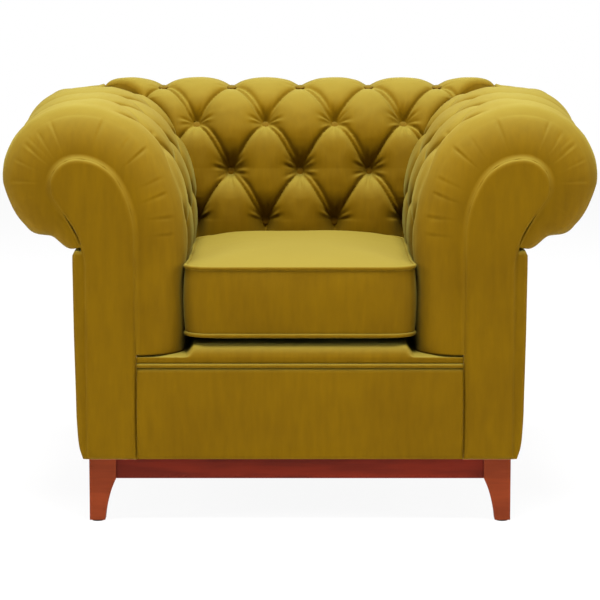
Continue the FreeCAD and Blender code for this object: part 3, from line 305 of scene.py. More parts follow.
def add_node(tree: Tree, kind: str, values: dict, **settings: object) -> bpy.types.Node:
    """Adds a shader node.

    Args:
        tree: the tree that gets the node.
        kind: the node's type, without the words that all shader nodes begin with.
        values: values or sockets, by input name or number.
        settings: the node's own properties.

    Returns:
        The new node.
    """
    node = tree.nodes.new(f"ShaderNode{kind}")
    for label, value in settings.items():
        setattr(node, label, value)
    feed(tree, node, values)
    return node


def math_node(tree: Tree, kind: str, *terms: object) -> Socket:
    """A math node's output, for terms that are sockets or numbers."""
    return add_node(tree, "Math", dict(enumerate(terms)), operation=kind).outputs[0]


def noise_node(tree: Tree, place: Socket, scale: object, detail: float, rough: float) -> Socket:
    """A noise texture's value at a place; its scale is a socket or a number."""
    values = {"Vector": place, "Scale": scale, "Detail": detail, "Roughness": rough}
    return add_node(tree, "TexNoise", values).outputs["Fac"]


def stretched(tree: Tree, place: Socket, scale: tuple) -> Socket:
    """Coordinates scaled apart on the three axes."""
    return add_node(tree, "Mapping", {"Vector": place, "Scale": scale}).outputs["Vector"]


def colour_mix(tree: Tree, share: Socket, first: object, second: object) -> Socket:
    """Mixes two colours.

    Args:
        tree: the tree that gets the node.
        share: 0 for the first colour and 1 for the second.
        first: a socket, or red, green and blue.
        second: a socket, or red, green and blue.

    Returns:
        The mixed colour.
    """
    first, second = ((*end, 1.0) if isinstance(end, tuple) else end for end in (first, second))
    values = {"Factor": share, "A": first, "B": second}
    return add_node(tree, "Mix", values, data_type="RGBA").outputs["Result"]


def bump_node(tree: Tree, height: Socket, strength: float, distance: float) -> Socket:
    """A bump's normal."""
    values = {"Strength": strength, "Distance": distance, "Height": height}
    return add_node(tree, "Bump", values).outputs["Normal"]


def object_place(tree: Tree) -> Socket:
    """The coordinates of the piece itself."""
    return tree.nodes.new("ShaderNodeTexCoord").outputs["Object"]


def new_group(name: str, inputs: dict, outputs: tuple) -> Tree:
    """An empty shader group with number inputs and outputs.

    Args:
        name: the group's name.
        inputs: default values by socket name.
        outputs: socket names.

    Returns:
        The group, with its input and output nodes in place.
    """
    group = bpy.data.node_groups.new(name, "ShaderNodeTree")
    for label, value in inputs.items():
        socket = group.interface.new_socket(label, in_out="INPUT", socket_type="NodeSocketFloat")
        socket.default_value = value
    for label in outputs:
        group.interface.new_socket(label, in_out="OUTPUT", socket_type="NodeSocketFloat")
    group.nodes.new("NodeGroupInput")
    group.nodes.new("NodeGroupOutput")
    return group


def pile_group() -> Tree:
    """Velvet's crushed patches, its streaks along the nap and its fine pile."""
    inputs = {"Patch Scale": 9.0, "Pile Scale": 1500.0}
    group = new_group("velvet_pile", inputs, ("Patches", "Streaks", "Pile"))
    entry, leave = group.nodes[0].outputs, group.nodes[1]
    place = object_place(group)
    patches = noise_node(group, place, entry["Patch Scale"], 3.0, 0.55)
    streaks = noise_node(group, stretched(group, place, (3.0, 3.0, 0.5)), 30.0, 4.0, 0.6)
    pile = noise_node(group, place, entry["Pile Scale"], 2.0, 0.6)
    feed(group, leave, {"Patches": patches, "Streaks": streaks, "Pile": pile})
    return group


def wood_group() -> Tree:
    """Wood figure along X: long bands, pores and a slow change of tone."""
    group = new_group("wood_figure", {"Length": 1.0}, ("Bands", "Pores", "Tone"))
    entry, leave = group.nodes[0].outputs, group.nodes[1]
    place = object_place(group)
    bend = noise_node(group, stretched(group, place, (1.1, 9.0, 9.0)), 1.6, 4.0, 0.6)
    bands = math_node(group, "SINE", math_node(group, "MULTIPLY", bend, 26.0))
    fibres = stretched(group, place, (12.0, 420.0, 420.0))
    pores = noise_node(group, fibres, entry["Length"], 3.0, 0.6)
    tone = noise_node(group, place, 5.0, 2.0, 0.5)
    bands = math_node(group, "MULTIPLY_ADD", bands, 0.5, 0.5)
    feed(group, leave, {"Bands": bands, "Pores": pores, "Tone": tone})
    return group


@dataclass(frozen=True)
class Finish:
    """A finish whose colour runs between two tones."""

    name: str
    dark: tuple
    light: tuple
    roughness: float = 0.8

    def material(self, groups: dict) -> bpy.types.Material:
        """Builds the finish.

        Args:
            groups: the shared shader groups by name.

        Returns:
            The material.
        """
        made = bpy.data.materials.new(self.name)
        made.use_nodes = True
        tree = made.node_tree
        feed(tree, tree.nodes["Principled BSDF"], self.sockets(tree, groups))
        return made

    def sockets(self, tree: Tree, groups: dict) -> dict:
        """What feeds the Principled shader, by input name; each kind of finish gives its own."""
        raise NotImplementedError


@dataclass(frozen=True)
class Velvet(Finish):
    """Gold velvet: a short pile in crushed patches, with painted top light: lighter where the cloth
    faces up.
    """

    name: str = "gold_velvet"
    dark: tuple = (0.070, 0.034, 0.0002)
    light: tuple = (0.135, 0.073, 0.0004)
    # crest: painted top light, the colour that cloth facing up is turned to, standing in for the
    # light from above
    crest: tuple = (0.130, 0.099, 0.014)
    patch_scale: float = 7.0

    def sockets(self, tree: Tree, groups: dict) -> dict:
        """The velvet's colours with their painted top light, its sheen and its pile.

        Args:
            tree: the material's tree.
            groups: the shared shader groups by name.

        Returns:
            Values and sockets for the Principled shader.
        """
        values = {"Patch Scale": self.patch_scale}
        pile = add_node(tree, "Group", values, node_tree=groups["pile"]).outputs
        tone = math_node(tree, "MULTIPLY_ADD", pile["Streaks"], COLOUR_SHARE, -0.12)
        patches = math_node(tree, "MULTIPLY", pile["Patches"], COLOUR_SHARE)
        cloth = colour_mix(tree, math_node(tree, "ADD", tone, patches), self.dark, self.light)
        # Painted top light: the colour turns towards crest as the cloth faces up, as light from
        # above would make it
        normal = tree.nodes.new("ShaderNodeNewGeometry").outputs["Normal"]
        upward = add_node(tree, "SeparateXYZ", {"Vector": normal}).outputs["Z"]
        painted_top_light = math_node(tree, "POWER", math_node(tree, "MAXIMUM", upward, 0.0), 1.6)
        return {
            "Base Color": colour_mix(tree, painted_top_light, cloth, self.crest),
            "Roughness": self.roughness,
            "Specular IOR Level": 0.03,
            "Sheen Weight": 0.09,
            "Sheen Roughness": 0.4,
            "Sheen Tint": (0.86, 0.88, 0.22, 1.0),
            "Normal": bump_node(tree, pile["Pile"], 0.12, 0.0006),
        }


@dataclass(frozen=True)
class Wood(Finish):
    """Stained or raw wood with figure and pores."""

    def sockets(self, tree: Tree, groups: dict) -> dict:
        """The wood's figure, gloss and pores.

        Args:
            tree: the material's tree.
            groups: the shared shader groups by name.

        Returns:
            Values and sockets for the Principled shader.
        """
        figure = add_node(tree, "Group", {}, node_tree=groups["wood"]).outputs
        tone = math_node(tree, "MULTIPLY", figure["Bands"], 0.35)
        for label, share in (("Tone", COLOUR_SHARE), ("Pores", 0.35)):
            tone = math_node(tree, "MULTIPLY_ADD", figure[label], share, tone)
        rough = math_node(tree, "MULTIPLY_ADD", figure["Pores"], 0.2, self.roughness - 0.1)
        return {
            "Base Color": colour_mix(tree, tone, self.dark, self.light),
            "Roughness": rough,
            "Specular IOR Level": 0.08,
            "Normal": bump_node(tree, figure["Pores"], 0.15, 0.0004),
        }


@dataclass(frozen=True)
class Plain(Finish):
    """A hidden or small finish: metal, foam, felt or woven cloth, mottled by noise."""

    metallic: float = 0.0
    speck: float = 120.0

    def sockets(self, tree: Tree, groups: dict) -> dict:
        """The finish's specks.

        Args:
            tree: the material's tree.
            groups: the shared shader groups by name.

        Returns:
            Values and sockets for the Principled shader.
        """
        speck = noise_node(tree, object_place(tree), self.speck, 4.0, 0.6)
        return {
            "Base Color": colour_mix(tree, speck, self.dark, self.light),
            "Roughness": self.roughness,
            "Metallic": self.metallic,
            "Normal": bump_node(tree, speck, 0.2, 0.0005),
        }


class Finishes:
    """All finishes of the chair, by the record's slots."""

    def __init__(self) -> None:
        """Builds the shared groups and every material."""
        groups = {"pile": pile_group(), "wood": wood_group()}
        # Painted shade: the buttons wear the chair's velvet, painted darker for the shade of the
        # pits they sit in; crest is their dimmer painted top light
        dark, light, crest = (0.07, 0.03, 0.0005), (0.12, 0.06, 0.001), (0.08, 0.055, 0.006)
        looks = {
            "velvet": Velvet(),
            "velvet_buttons": Velvet("button_velvet", dark, light, crest=crest, patch_scale=25.0),
            "velvet_piping": Velvet("piping_velvet", patch_scale=18.0),
            "leg_wood": Wood("leg_stain", (0.072, 0.009, 0.0012), (0.155, 0.025, 0.0045), 0.5),
            "plinth_wood": Wood("plinth_stain", (0.036, 0.003, 0.0006), (0.115, 0.009, 0.0014), 0.5),
            "frame_wood": Wood("sawn_hardwood", (0.36, 0.22, 0.11), (0.58, 0.40, 0.22), 0.75),
            "board": Plain("bent_board", (0.22, 0.15, 0.09), (0.34, 0.24, 0.15)),
            "glide_felt": Plain("glide_felt", (0.008, 0.008, 0.007), (0.03, 0.028, 0.026), 0.95),
            "bolt_steel": Plain("zinc_steel", (0.35, 0.35, 0.35), (0.5, 0.5, 0.5), 0.35, 1.0),
            "spring_steel": Plain("spring_steel", (0.18, 0.19, 0.2), (0.3, 0.31, 0.33), 0.3, 1.0),
            "dust_cloth": Plain("dust_cloth", (0.004, 0.004, 0.004), (0.015, 0.015, 0.015), 0.95),
            "felt": Plain("seat_felt", (0.22, 0.2, 0.16), (0.4, 0.37, 0.31), 0.95),
            "webbing": Plain("jute_webbing", (0.18, 0.12, 0.06), (0.34, 0.26, 0.15), 0.9),
            "foam": Plain("seat_foam", (0.62, 0.54, 0.30), (0.78, 0.70, 0.44), 0.95),
            "zip_metal": Plain("zip_brass", (0.30, 0.19, 0.05), (0.50, 0.34, 0.10), 0.3, 1.0),
            "zip_cloth": Plain("zip_tape", (0.10, 0.065, 0.006), (0.17, 0.12, 0.012), 0.9),
        }
        self.made = {slot: look.material(groups) for slot, look in looks.items()}

    def dress_nodes(self) -> None:
        """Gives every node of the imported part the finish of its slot."""
        slots = {part["node"]: part["material_slot"] for part in frame["record"]["subparts"]}
        for name, node in frame["nodes"].items():
            node.data.materials.clear()
            node.data.materials.append(self.made[slots[name]])

    def dress(
        self, thing: Thing, body: Body, slot: Slot, nodes: tuple, fill: float | None = None
    ) -> None:
        """Dresses a piece and ties it to the part.

        Args:
            thing: the piece.
            body: the body that it moves with.
            slot: the record's material slot that it takes its finish from.
            nodes: the nodes that it is shown in place of.
            fill: how tight it is stuffed, for a padded piece; not used.
        """
        thing.data.materials.clear()
        thing.data.materials.append(self.made[slot.value])
        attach(thing, body.value)
        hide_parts(*nodes)
        log.info("%s: %d faces", thing.name, len(thing.data.polygons))

    def dress_pair(self, right: Thing, node: str, fill: float) -> None:
        """Dresses a velvet piece of the right side, and its mirror image on the left.

        Args:
            right: the piece, whose name ends with its side.
            node: the node that it is shown in place of, without its side.
            fill: how tight it is stuffed.
        """
        left = mirrored_copy(right, right.name.removesuffix(Side.RIGHT.value) + Side.LEFT.value)
        for thing, side in ((right, Side.RIGHT), (left, Side.LEFT)):
            self.dress(thing, Body.CHAIR, Slot.VELVET, (f"{node}_{side.value}",), fill)


@dataclass(frozen=True)
class Scroll:
    """A scroll-shaped board and its padding: inner face, crown, round head, neck and hollow.

    The first fields, down to the pads, are what the arms and the back have different. A pad is
    the thickness of the upholstery at its pleats.
    """

    inner: float
    lean_start: float
    lean_radius: float
    crown_radius: float
    pad: float
    roll_pad: float
    side_drop: float = 7.0
    under_pad: float = 66.0
    neck_pad: float = 41.0
    tuck_pad: float = 14.0
    top: float = 685.5
    head: float = 53.0
    neck: float = 150.0
    outer_shift: float = -10.164
    slope: float = math.radians(35.0)
    tuck: float = math.radians(17.0)
    foot: float = 317.0
    button_low: float = 511.0
    row_step: float = 110.0
    samples: int = 400
    roll_fade: tuple = (5.0, 50.0)
    under_fade: tuple = (-10.0, 60.0)
    under_calm: float = 0.75
    ripple_sizes: tuple = (70.0, 24.0)
    fine_ripple: float = 0.5
    lead: float = 22.0
    hollow_at: float = 0.42
    hollow_sag: float = 7.0
    tail_points: int = 60

    @property
    def lean_chord(self) -> tuple:
        """How far out and up the crown's centre is from the leaning arc's centre."""
        rise = self.top - self.crown_radius - self.lean_start
        return math.sqrt((self.lean_radius - self.crown_radius) ** 2 - rise**2), rise

    @property
    def axis(self) -> float:
        """How far out the scroll's head has its centre."""
        return self.inner + self.lean_radius - self.lean_chord[0]

    @property
    def outer(self) -> float:
        """How far out the flat outer face is."""
        return self.axis + self.outer_shift

    @property
    def arcs(self) -> tuple:
        """The arcs of the leaning face, crown and head: centre, radius, start and end angles."""
        reach, rise = self.lean_chord
        lean_end = math.pi - math.atan2(rise, reach)
        crown = (self.axis, self.top - self.crown_radius)
        lean = (self.inner + self.lean_radius, self.lean_start)
        return (
            (lean, self.lean_radius, math.pi, lean_end),
            (crown, self.crown_radius, lean_end, math.pi / 2),
            ((self.axis, self.top - self.head), self.head, math.pi / 2, -self.slope),
        )

    @property
    def neck_start(self) -> tuple:
        """Where the neck's slope ends and its hollow begins."""
        u = self.axis + self.head * math.cos(self.slope)
        z = self.top - self.head - self.head * math.sin(self.slope)
        corner = z - (u - self.outer) / math.tan(self.slope)
        run = self.neck * math.tan(self.slope / 2)
        return self.outer + run * math.sin(self.slope), corner + run * math.cos(self.slope)

    @property
    def neck_centre(self) -> tuple:
        """The centre of the hollow under the neck."""
        u, z = self.neck_start
        return u + self.neck * math.cos(self.slope), z - self.neck * math.sin(self.slope)

    @property
    def length(self) -> float:
        """The run at the end of the head."""
        return sum((arc[1] + self.roll_pad) * (arc[2] - arc[3]) for arc in self.arcs)

    @property
    def tuft_runs(self) -> list:
        """The runs of the four button rows, from the lowest up."""
        first = self.button_low - self.lean_start
        if first > 0:
            reach = self.lean_radius + self.roll_pad
            first = math.asin(first / reach) * reach
        return [first + n * self.row_step for n in range(len(ROWS))]

    def station(self, run: float) -> tuple:
        """Finds a point of the board.

        Args:
            run: the run along the pleats over it.

        Returns:
            The point and the outward normal there.
        """
        if run <= 0:
            return (self.inner, self.lean_start + run), (-1.0, 0.0)
        for centre, radius, start, stop in self.arcs:
            length = (radius + self.roll_pad) * (start - stop)
            if run <= length:
                angle = start - run / (radius + self.roll_pad)
                break
            run -= length
        else:
            angle = stop
        normal = (math.cos(angle), math.sin(angle))
        return (centre[0] + radius * normal[0], centre[1] + radius * normal[1]), normal

    def clock(self, degrees: float) -> float:
        """Finds the run where the outline faces a direction, from its crown to its head.

        Args:
            degrees: the direction, 0 outwards from the seat and 90 up.

        Returns:
            The run.
        """
        (_, lean, start, lean_end), (_, crown, _, _), (_, head, _, _) = self.arcs
        run = (lean + self.roll_pad) * (start - lean_end)
        angle = math.radians(degrees)
        if angle > math.pi / 2:
            return run + (crown + self.roll_pad) * (lean_end - angle)
        run += (crown + self.roll_pad) * (lean_end - math.pi / 2)
        return run + (head + self.roll_pad) * (math.pi / 2 - angle)

    def swell(self, run: np.ndarray, degrees: float, reach: float, power: int = 2) -> np.ndarray:
        """1 where the outline faces a direction, fading to 0 on both sides of it."""
        return np.exp(-(((run - self.clock(degrees)) / reach) ** power))

    def row_of(self, run: np.ndarray) -> np.ndarray:
        """The button row at each run, held at the lowest and the highest row."""
        return np.interp(run, self.tuft_runs, ROWS)

    def on_roll(self, run: np.ndarray) -> np.ndarray:
        """0 on the tufted face and 1 on the roll above its top row."""
        return smooth_step(run, *(self.tuft_runs[-1] + far for far in self.roll_fade))

    def under_roll(self, run: np.ndarray) -> np.ndarray:
        """0 up to the end of the head and 1 under the roll."""
        return smooth_step(run, *(self.length + far for far in self.under_fade))

    def depth_of(self, run: np.ndarray) -> np.ndarray:
        """The upholstery's thickness at its pleats.

        Args:
            run: the runs to find it at.

        Returns:
            The thickness at each run.
        """
        _, second, third, top = self.tuft_runs
        rest = self.length - top
        marks = [second, third, top, top + 0.5 * rest, top + 0.75 * rest, self.length]
        middle = (self.pad + self.roll_pad) / 2
        side = self.roll_pad - self.side_drop
        depths = [self.pad, middle, self.roll_pad, self.roll_pad, side, self.under_pad]
        return np.interp(run, marks, depths)

    def calmed(self, height: np.ndarray, run: np.ndarray, fade: tuple, calm: float) -> np.ndarray:
        """Brings the tufts down at the foot of the face and under the roll.

        Args:
            height: how far the velvet stands over its pleats' level.
            run: the run at each height.
            fade: where the face comes alive, as distances from the lowest row.
            calm: the share of the height that is lost at the foot.

        Returns:
            The new heights.
        """
        low = self.tuft_runs[0]
        foot = 1 - smooth_step(run, low + fade[0], low + fade[1])
        return height * (1 - calm * foot) * (1 - self.under_calm * self.under_roll(run))

    def unevenness(
        self, flat: np.ndarray, run: np.ndarray, coarse: float, seeds: tuple
    ) -> np.ndarray:
        """The small ripples of stuffed cloth, none of them under the roll.

        Args:
            flat: an array of x, y, z rows.
            run: the run at each point.
            coarse: the height of the larger ripples.
            seeds: the seeds of the larger and of the finer ripples.

        Returns:
            Heights.
        """
        large, fine = (ripple(flat, size, seed) for size, seed in zip(self.ripple_sizes, seeds))
        return (coarse * large + self.fine_ripple * fine) * (1 - self.under_roll(run))

    def skin(self, step: float) -> tuple:
        """The upholstery's section at its pleats.

        Args:
            step: the distance between points, about.

        Returns:
            Points, outward normals and runs, from the foot to the tuck under the roll, and
            the points of the board under them.
        """
        runs = np.linspace(self.foot - self.lean_start, self.length, self.samples)
        stations = [self.station(float(run)) for run in runs]
        boards, normals = (np.array(rows) for rows in zip(*stations))
        points = boards + normals * self.depth_of(runs)[:, None]
        neck_board = np.array(self.neck_start)
        neck = neck_board + self.neck_pad * np.array([math.cos(self.slope), -math.sin(self.slope)])
        tuck_way = np.array([-math.cos(self.tuck), math.sin(self.tuck)])
        tuck_board = np.array(self.neck_centre) + tuck_way * self.neck
        end = tuck_board - tuck_way * self.tuck_pad
        lead = points[-1] + self.lead * unit(points[-1:] - points[-2:-1])[0]
        hollow = end + (neck - end) * self.hollow_at + np.array([0.0, -self.hollow_sag])
        tail = spline([points[-1], lead, neck, hollow, end], self.tail_points)
        before_neck = boards[-1] * 0.6 + neck_board * 0.4
        knots = [boards[-1], before_neck, neck_board, tuck_board, tuck_board]
        tail_board = spline(knots, self.tail_points)
        points = np.vstack([points, tail[1:]])
        boards = np.vstack([boards, tail_board[1:]])
        walked = walked_along(points)
        beyond = walked[self.samples :] - walked[self.samples - 1]
        runs = np.concatenate([runs, self.length + beyond])
        even = np.linspace(0.0, walked[-1], int(walked[-1] / step))
        points, boards = evened(points, walked, even), evened(boards, walked, even)
        ways = unit(np.gradient(points, axis=0))
        outs = np.column_stack([-ways[:, 1], ways[:, 0]])
        return points, outs, np.interp(even, walked, runs), boards

    def inside_line(self) -> np.ndarray:
        """The board's outline just under the upholstery, from the tuck round to the foot."""
        boards = self.skin(8.0)[3]
        line = boards[np.linspace(0, len(boards) - 1, 24).astype(int)]
        line[0] = (self.inner, self.foot)
        return line[::-1]


ARM = Scroll(305.0, 538.0, 200.0, 90.0, 86.0, 89.0)
BACK = Scroll(196.0, 451.0, 600.0, 60.0, 74.0, 99.0)
SHOULDER = (45.0, 75.0)
BELLY = (-45.0, 70.0)
RIPPLE_OUT = 20.0
MITRE = (BACK.axis - (BACK.inner - BACK.pad)) / (ARM.axis - (ARM.inner - ARM.pad))
JOIN = -1.3


@dataclass(frozen=True)
class Tufting:
    """Buttons on a diamond lattice, with folded pleats between them and full pillows inside."""

    pitch: float = 71.5
    row_pitch: float = 98.0
    rise: float = 13.0
    roll_rise: float = 8.5
    pleat: float = 9.5
    pleat_widths: tuple = (3.4, 3.0, 3.6)
    lip_width: float = 3.2
    bow: float = 5.5
    split: float = 5.6
    depths: tuple = (34.0, 34.0, 26.0, 8.0)
    reach: float = 23.0
    pit_end: float = 58.0
    ray_ring: tuple = (22.0, 12.0)
    ray_height: float = 2.4

    def height(self, row: np.ndarray, column: np.ndarray, roll: np.ndarray) -> np.ndarray:
        """How far the velvet stands over the pleats' own level.

        Args:
            row: button rows, whole numbers at the buttons, held at the lowest and the highest.
            column: button columns, whole numbers at the buttons.
            roll: 0 on the tufted face and 1 on the roll above the top row.

        Returns:
            Heights in millimetres.
        """
        a, b = (column + row) / 2, (column - row) / 2
        fold, full = self.pleats(a, b, ((row > ROWS[0]) & (row < ROWS[-1])).astype(float))
        crown = self.rise * (1 - roll) + self.roll_rise * roll
        height = crown * full - self.pleat * (1 - 0.6 * roll) * fold
        near_a, near_b = np.round(a), np.round(b)
        side = (column - near_a - near_b) * self.pitch
        rise = (row - near_a + near_b) * self.row_pitch
        far = np.hypot(side, rise)
        depth = np.interp(near_a - near_b, ROWS, self.depths)
        reach = self.reach * (0.55 + 0.45 * depth / self.depths[0])
        dip = np.exp(-((far / reach) ** 1.2)) * np.clip(1 - (far / self.pit_end) ** 2, 0.0, 1.0)
        turn = np.arctan2(rise, side)
        ring = np.exp(-(((far - self.ray_ring[0]) / self.ray_ring[1]) ** 2))
        ring = ring * depth / self.depths[0]
        rays = 0.65 * np.cos(11 * turn + near_a) + 0.35 * np.cos(17 * turn + 2 * near_b)
        return height * (1 - dip) - depth * dip + self.ray_height * ring * rays

    def pleats(self, a: np.ndarray, b: np.ndarray, free: np.ndarray) -> tuple:
        """Finds the folds and the pillows of the lattice.

        Args:
            a: places along one diagonal of the lattice.
            b: places along the other diagonal.
            free: 1 between the lowest and the highest row, where the pleats bow, and 0 beyond.

        Returns:
            How much of a fold and how much of a pillow there is at each place, up to 1.
        """
        spacing = 2 / math.hypot(1 / self.pitch, 1 / self.row_pitch)
        up_a, up_b = 1 - (b - np.floor(b)), a - np.floor(a)
        bowed_a = a - free * self.bow / spacing * np.sin(np.pi * up_a**1.35)
        bowed_b = b + free * 0.6 * self.bow / spacing * np.sin(np.pi * up_b**1.35)
        from_a = (bowed_a - np.round(bowed_a)) * spacing
        from_b = (bowed_b - np.round(bowed_b)) * spacing
        split = self.split * np.abs(np.sin(np.pi * up_a)) ** 0.7 * free
        first = self.crease(from_a + split, self.pleat_widths[0])
        second = 0.8 * self.crease(from_a - split, self.pleat_widths[1])
        across = 0.8 * self.crease(from_b, self.pleat_widths[2])
        lip = np.exp(-((from_a / self.lip_width) ** 2)) * np.clip(split / 4.0, 0.0, 1.0)
        fold = 1 - (1 - first) * (1 - second) * (1 - across) - 0.35 * lip
        return fold, np.abs(np.sin(np.pi * bowed_a) * np.sin(np.pi * bowed_b)) ** 0.42

    def crease(self, far: np.ndarray, width: float) -> np.ndarray:
        """1 in a crease and 0 away from it, with a sharp bottom."""
        return np.exp(-((np.abs(far) / width) ** 0.9))


BACK_TUFTS = Tufting()
ARM_TUFTS = Tufting(pitch=98.5)


@dataclass
class Upholstery:
    """A sub-assembly of the upholstery, dressed from the chair's finishes."""

    finishes: Finishes

    def build(self) -> None:
        """Builds and dresses the pieces; each sub-assembly does it in its own way."""
        raise NotImplementedError


@dataclass
class ArmUpholstery(Upholstery):
    """The tufted inside, crest and roll of an arm, gathered round its front.

    The gathers are given by where they lie: the first by the direction that the outline faces
    there, in degrees, and the last by their run down the inside. Crest and flank are given by
    a direction, a reach and the power of their fading.
    """

    grain: float = 2.8
    rounding: float = 74.0
    foot_fade: tuple = (-70, 10)
    foot_calm: float = 0.8
    edge_y: float = -410.0
    edge_fade: tuple = (-12.0, 22.0)
    edge_width: float = 6.0
    edge_depth: float = 5.0
    front_rise: float = 3.0
    plain_rise: float = 9.0
    crest: tuple = (88.0, 60.0, 4)
    crest_drop: float = 15.0
    flank: tuple = (10.0, 50.0, 2)
    flank_rise: float = 4.5
    shoulder_rise: float = 19.0
    belly_rise: float = 9.0
    coarse: float = 1.1
    seeds: tuple = (2.0, 5.0)
    end_dip: float = 18.0
    end_reach: float = 12.0
    lip_in: float = 6.0
    lip_out: float = 0.4
    gather_lean: float = 9.0
    gather_lip: float = 2.0
    gather_depth: float = 6.0
    gather_width: float = 3.8
    gathers_round: tuple = (140, 128, 105.5, 88, 67, 52, 45, 37.5, 22, 5, -12, -30)
    gathers_inside: tuple = (0.0, 40.0, 84.0, 118.0)
    weights: tuple = (1, 0.4, 1, 0.3, 1, 0.8, 0.35, 1, 0.4, 1, 0.4, 0.8, 0.8, 0.9, 1, 0.5)

    def thickness_share(self, y: np.ndarray) -> np.ndarray:
        """How much of the full thickness is left towards the rounded front."""
        share = np.clip((y - FRONT) / self.rounding, 0.0, 1.0)
        return np.clip(1 - (1 - share) ** 2.15, 0.0, 1.0) ** 0.5

    def surface(self, section: tuple, y: np.ndarray | float, end: np.ndarray) -> np.ndarray:
        """Places the section's points at given depths along the arm.

        Args:
            section: points at the pleats, outward normals, runs and the board's points.
            y: the place of each point along the arm.
            end: where the arm ends at each point.

        Returns:
            An array of x, y, z rows.
        """
        points, outs, runs, boards = section
        under = ARM.under_roll(runs)
        crest = ARM.swell(runs, *self.crest)
        height = ARM.calmed(self.tufts(runs, y), runs, self.foot_fade, self.foot_calm)
        edge = ARM_TUFTS.crease(y - self.edge_y, self.edge_width) * crest
        height = height - self.edge_depth * edge * (1 - under)
        front = 1 - smooth_step(y, *(self.edge_y + far for far in self.edge_fade))
        height = height * (1 - front) + front * (self.front_rise + self.gathers(runs, y))
        rear = smooth_step(y, -300.0, 150.0)
        height = height + self.shoulder_rise * ARM.swell(runs, *SHOULDER) * rear
        height = height + self.flank_rise * ARM.swell(runs, *self.flank)
        height = height + self.belly_rise * ARM.swell(runs, *BELLY)
        height = height - self.crest_drop * crest * smooth_step(y, 60.0, BACK.axis)
        u, z = (points + outs * RIPPLE_OUT).T
        height = height + ARM.unevenness(upright(u, z, y), runs, self.coarse, self.seeds)
        height = height - self.end_dip * np.exp(-np.maximum(end - y, 0.0) / self.end_reach)
        share = self.thickness_share(y)
        base = boards + (points - boards) * (0.01 + 0.99 * share)[:, None]
        placed = base + outs * (height * share)[:, None]
        return upright(placed[:, 0], placed[:, 1], y)

    def tufts(self, runs: np.ndarray, y: np.ndarray) -> np.ndarray:
        """The tufts, and the plain pillows ahead of the first buttons.

        Args:
            runs: the run at each point.
            y: the place of each point along the arm.

        Returns:
            Heights over the pleats' level.
        """
        column = np.maximum((y - FIRST_COLUMN) / ARM_TUFTS.pitch, -1.0)
        tufts = ARM_TUFTS.height(ARM.row_of(runs), column, ARM.on_roll(runs))
        plain = self.plain_rise * np.abs(np.sin(np.pi * (column + 1) / 4)) ** 0.5
        tufted = smooth_step(column, -0.75, -0.25)
        return tufts * tufted + plain * (1 - tufted)

    def gathers(self, runs: np.ndarray, y: np.ndarray) -> np.ndarray:
        """The creases that draw the velvet in round the facing.

        Args:
            runs: the run at each point.
            y: the place of each point along the arm.

        Returns:
            Heights, negative in a crease.
        """
        places = [ARM.clock(angle) for angle in self.gathers_round] + list(self.gathers_inside)
        share = self.thickness_share(y)
        found = np.zeros_like(runs)
        for number, (place, weight) in enumerate(zip(places, self.weights)):
            far = runs - place - self.gather_lean * math.sin(2.3 * number) * (share - 0.4)
            start, stop = 0.10 + 0.05 * math.sin(number), 0.86 + 0.05 * math.cos(3 * number)
            begin = smooth_step(share, start - 0.08, start + 0.1)
            reach = begin * (1 - smooth_step(share, stop - 0.2, stop))
            lip = np.exp(-(((far - 5.0) / 4.5) ** 2))
            crease = ARM_TUFTS.crease(far, self.gather_width)
            found += weight * reach * (self.gather_lip * lip - self.gather_depth * crease)
        return found

    def mitre(self, x: np.ndarray) -> np.ndarray:
        """Where the arm meets the back's mitre, for points a distance out."""
        return np.minimum(BACK.axis, BACK.axis - MITRE * (ARM.axis - x)) - JOIN

    def build(self) -> None:
        """Builds the right arm and mirrors it to the left."""
        section = ARM.skin(self.grain)
        count = len(section[0])
        turn = np.linspace(0, math.pi / 2, 46)
        near = FRONT - 0.5 + (self.rounding + 0.5) * (1 - np.cos(turn))
        far = np.linspace(near[-1], BACK.axis, int((BACK.axis - near[-1]) / self.grain))[1:]
        lines = np.concatenate([near, far])
        limit = np.full(count, BACK.axis - JOIN)
        for _ in range(4):
            limit = self.mitre(self.surface(section, limit, limit)[:, 0])
        inside = ARM.inside_line()
        inside_limit = self.mitre(inside[:, 0])
        rings = []
        for share in (lines - lines[0]) / (lines[-1] - lines[0]):
            squeeze = share**4
            y = lines[0] + share * (lines[-1] - lines[0])
            ring = self.surface(section, y + (limit - lines[-1]) * squeeze, limit)
            y_in = y + (inside_limit - lines[-1]) * squeeze
            rings.append(np.vstack([ring, upright(inside[:, 0], inside[:, 1], y_in)]))
        lip = rings[0].copy()
        lip[:count, ::2] -= self.lip_in * section[1]
        lip[:, 1] -= self.lip_out
        right = capped_tube("arm_velvet_right", [lip] + rings)
        self.finishes.dress_pair(right, "arm_upholstery", 0.85)


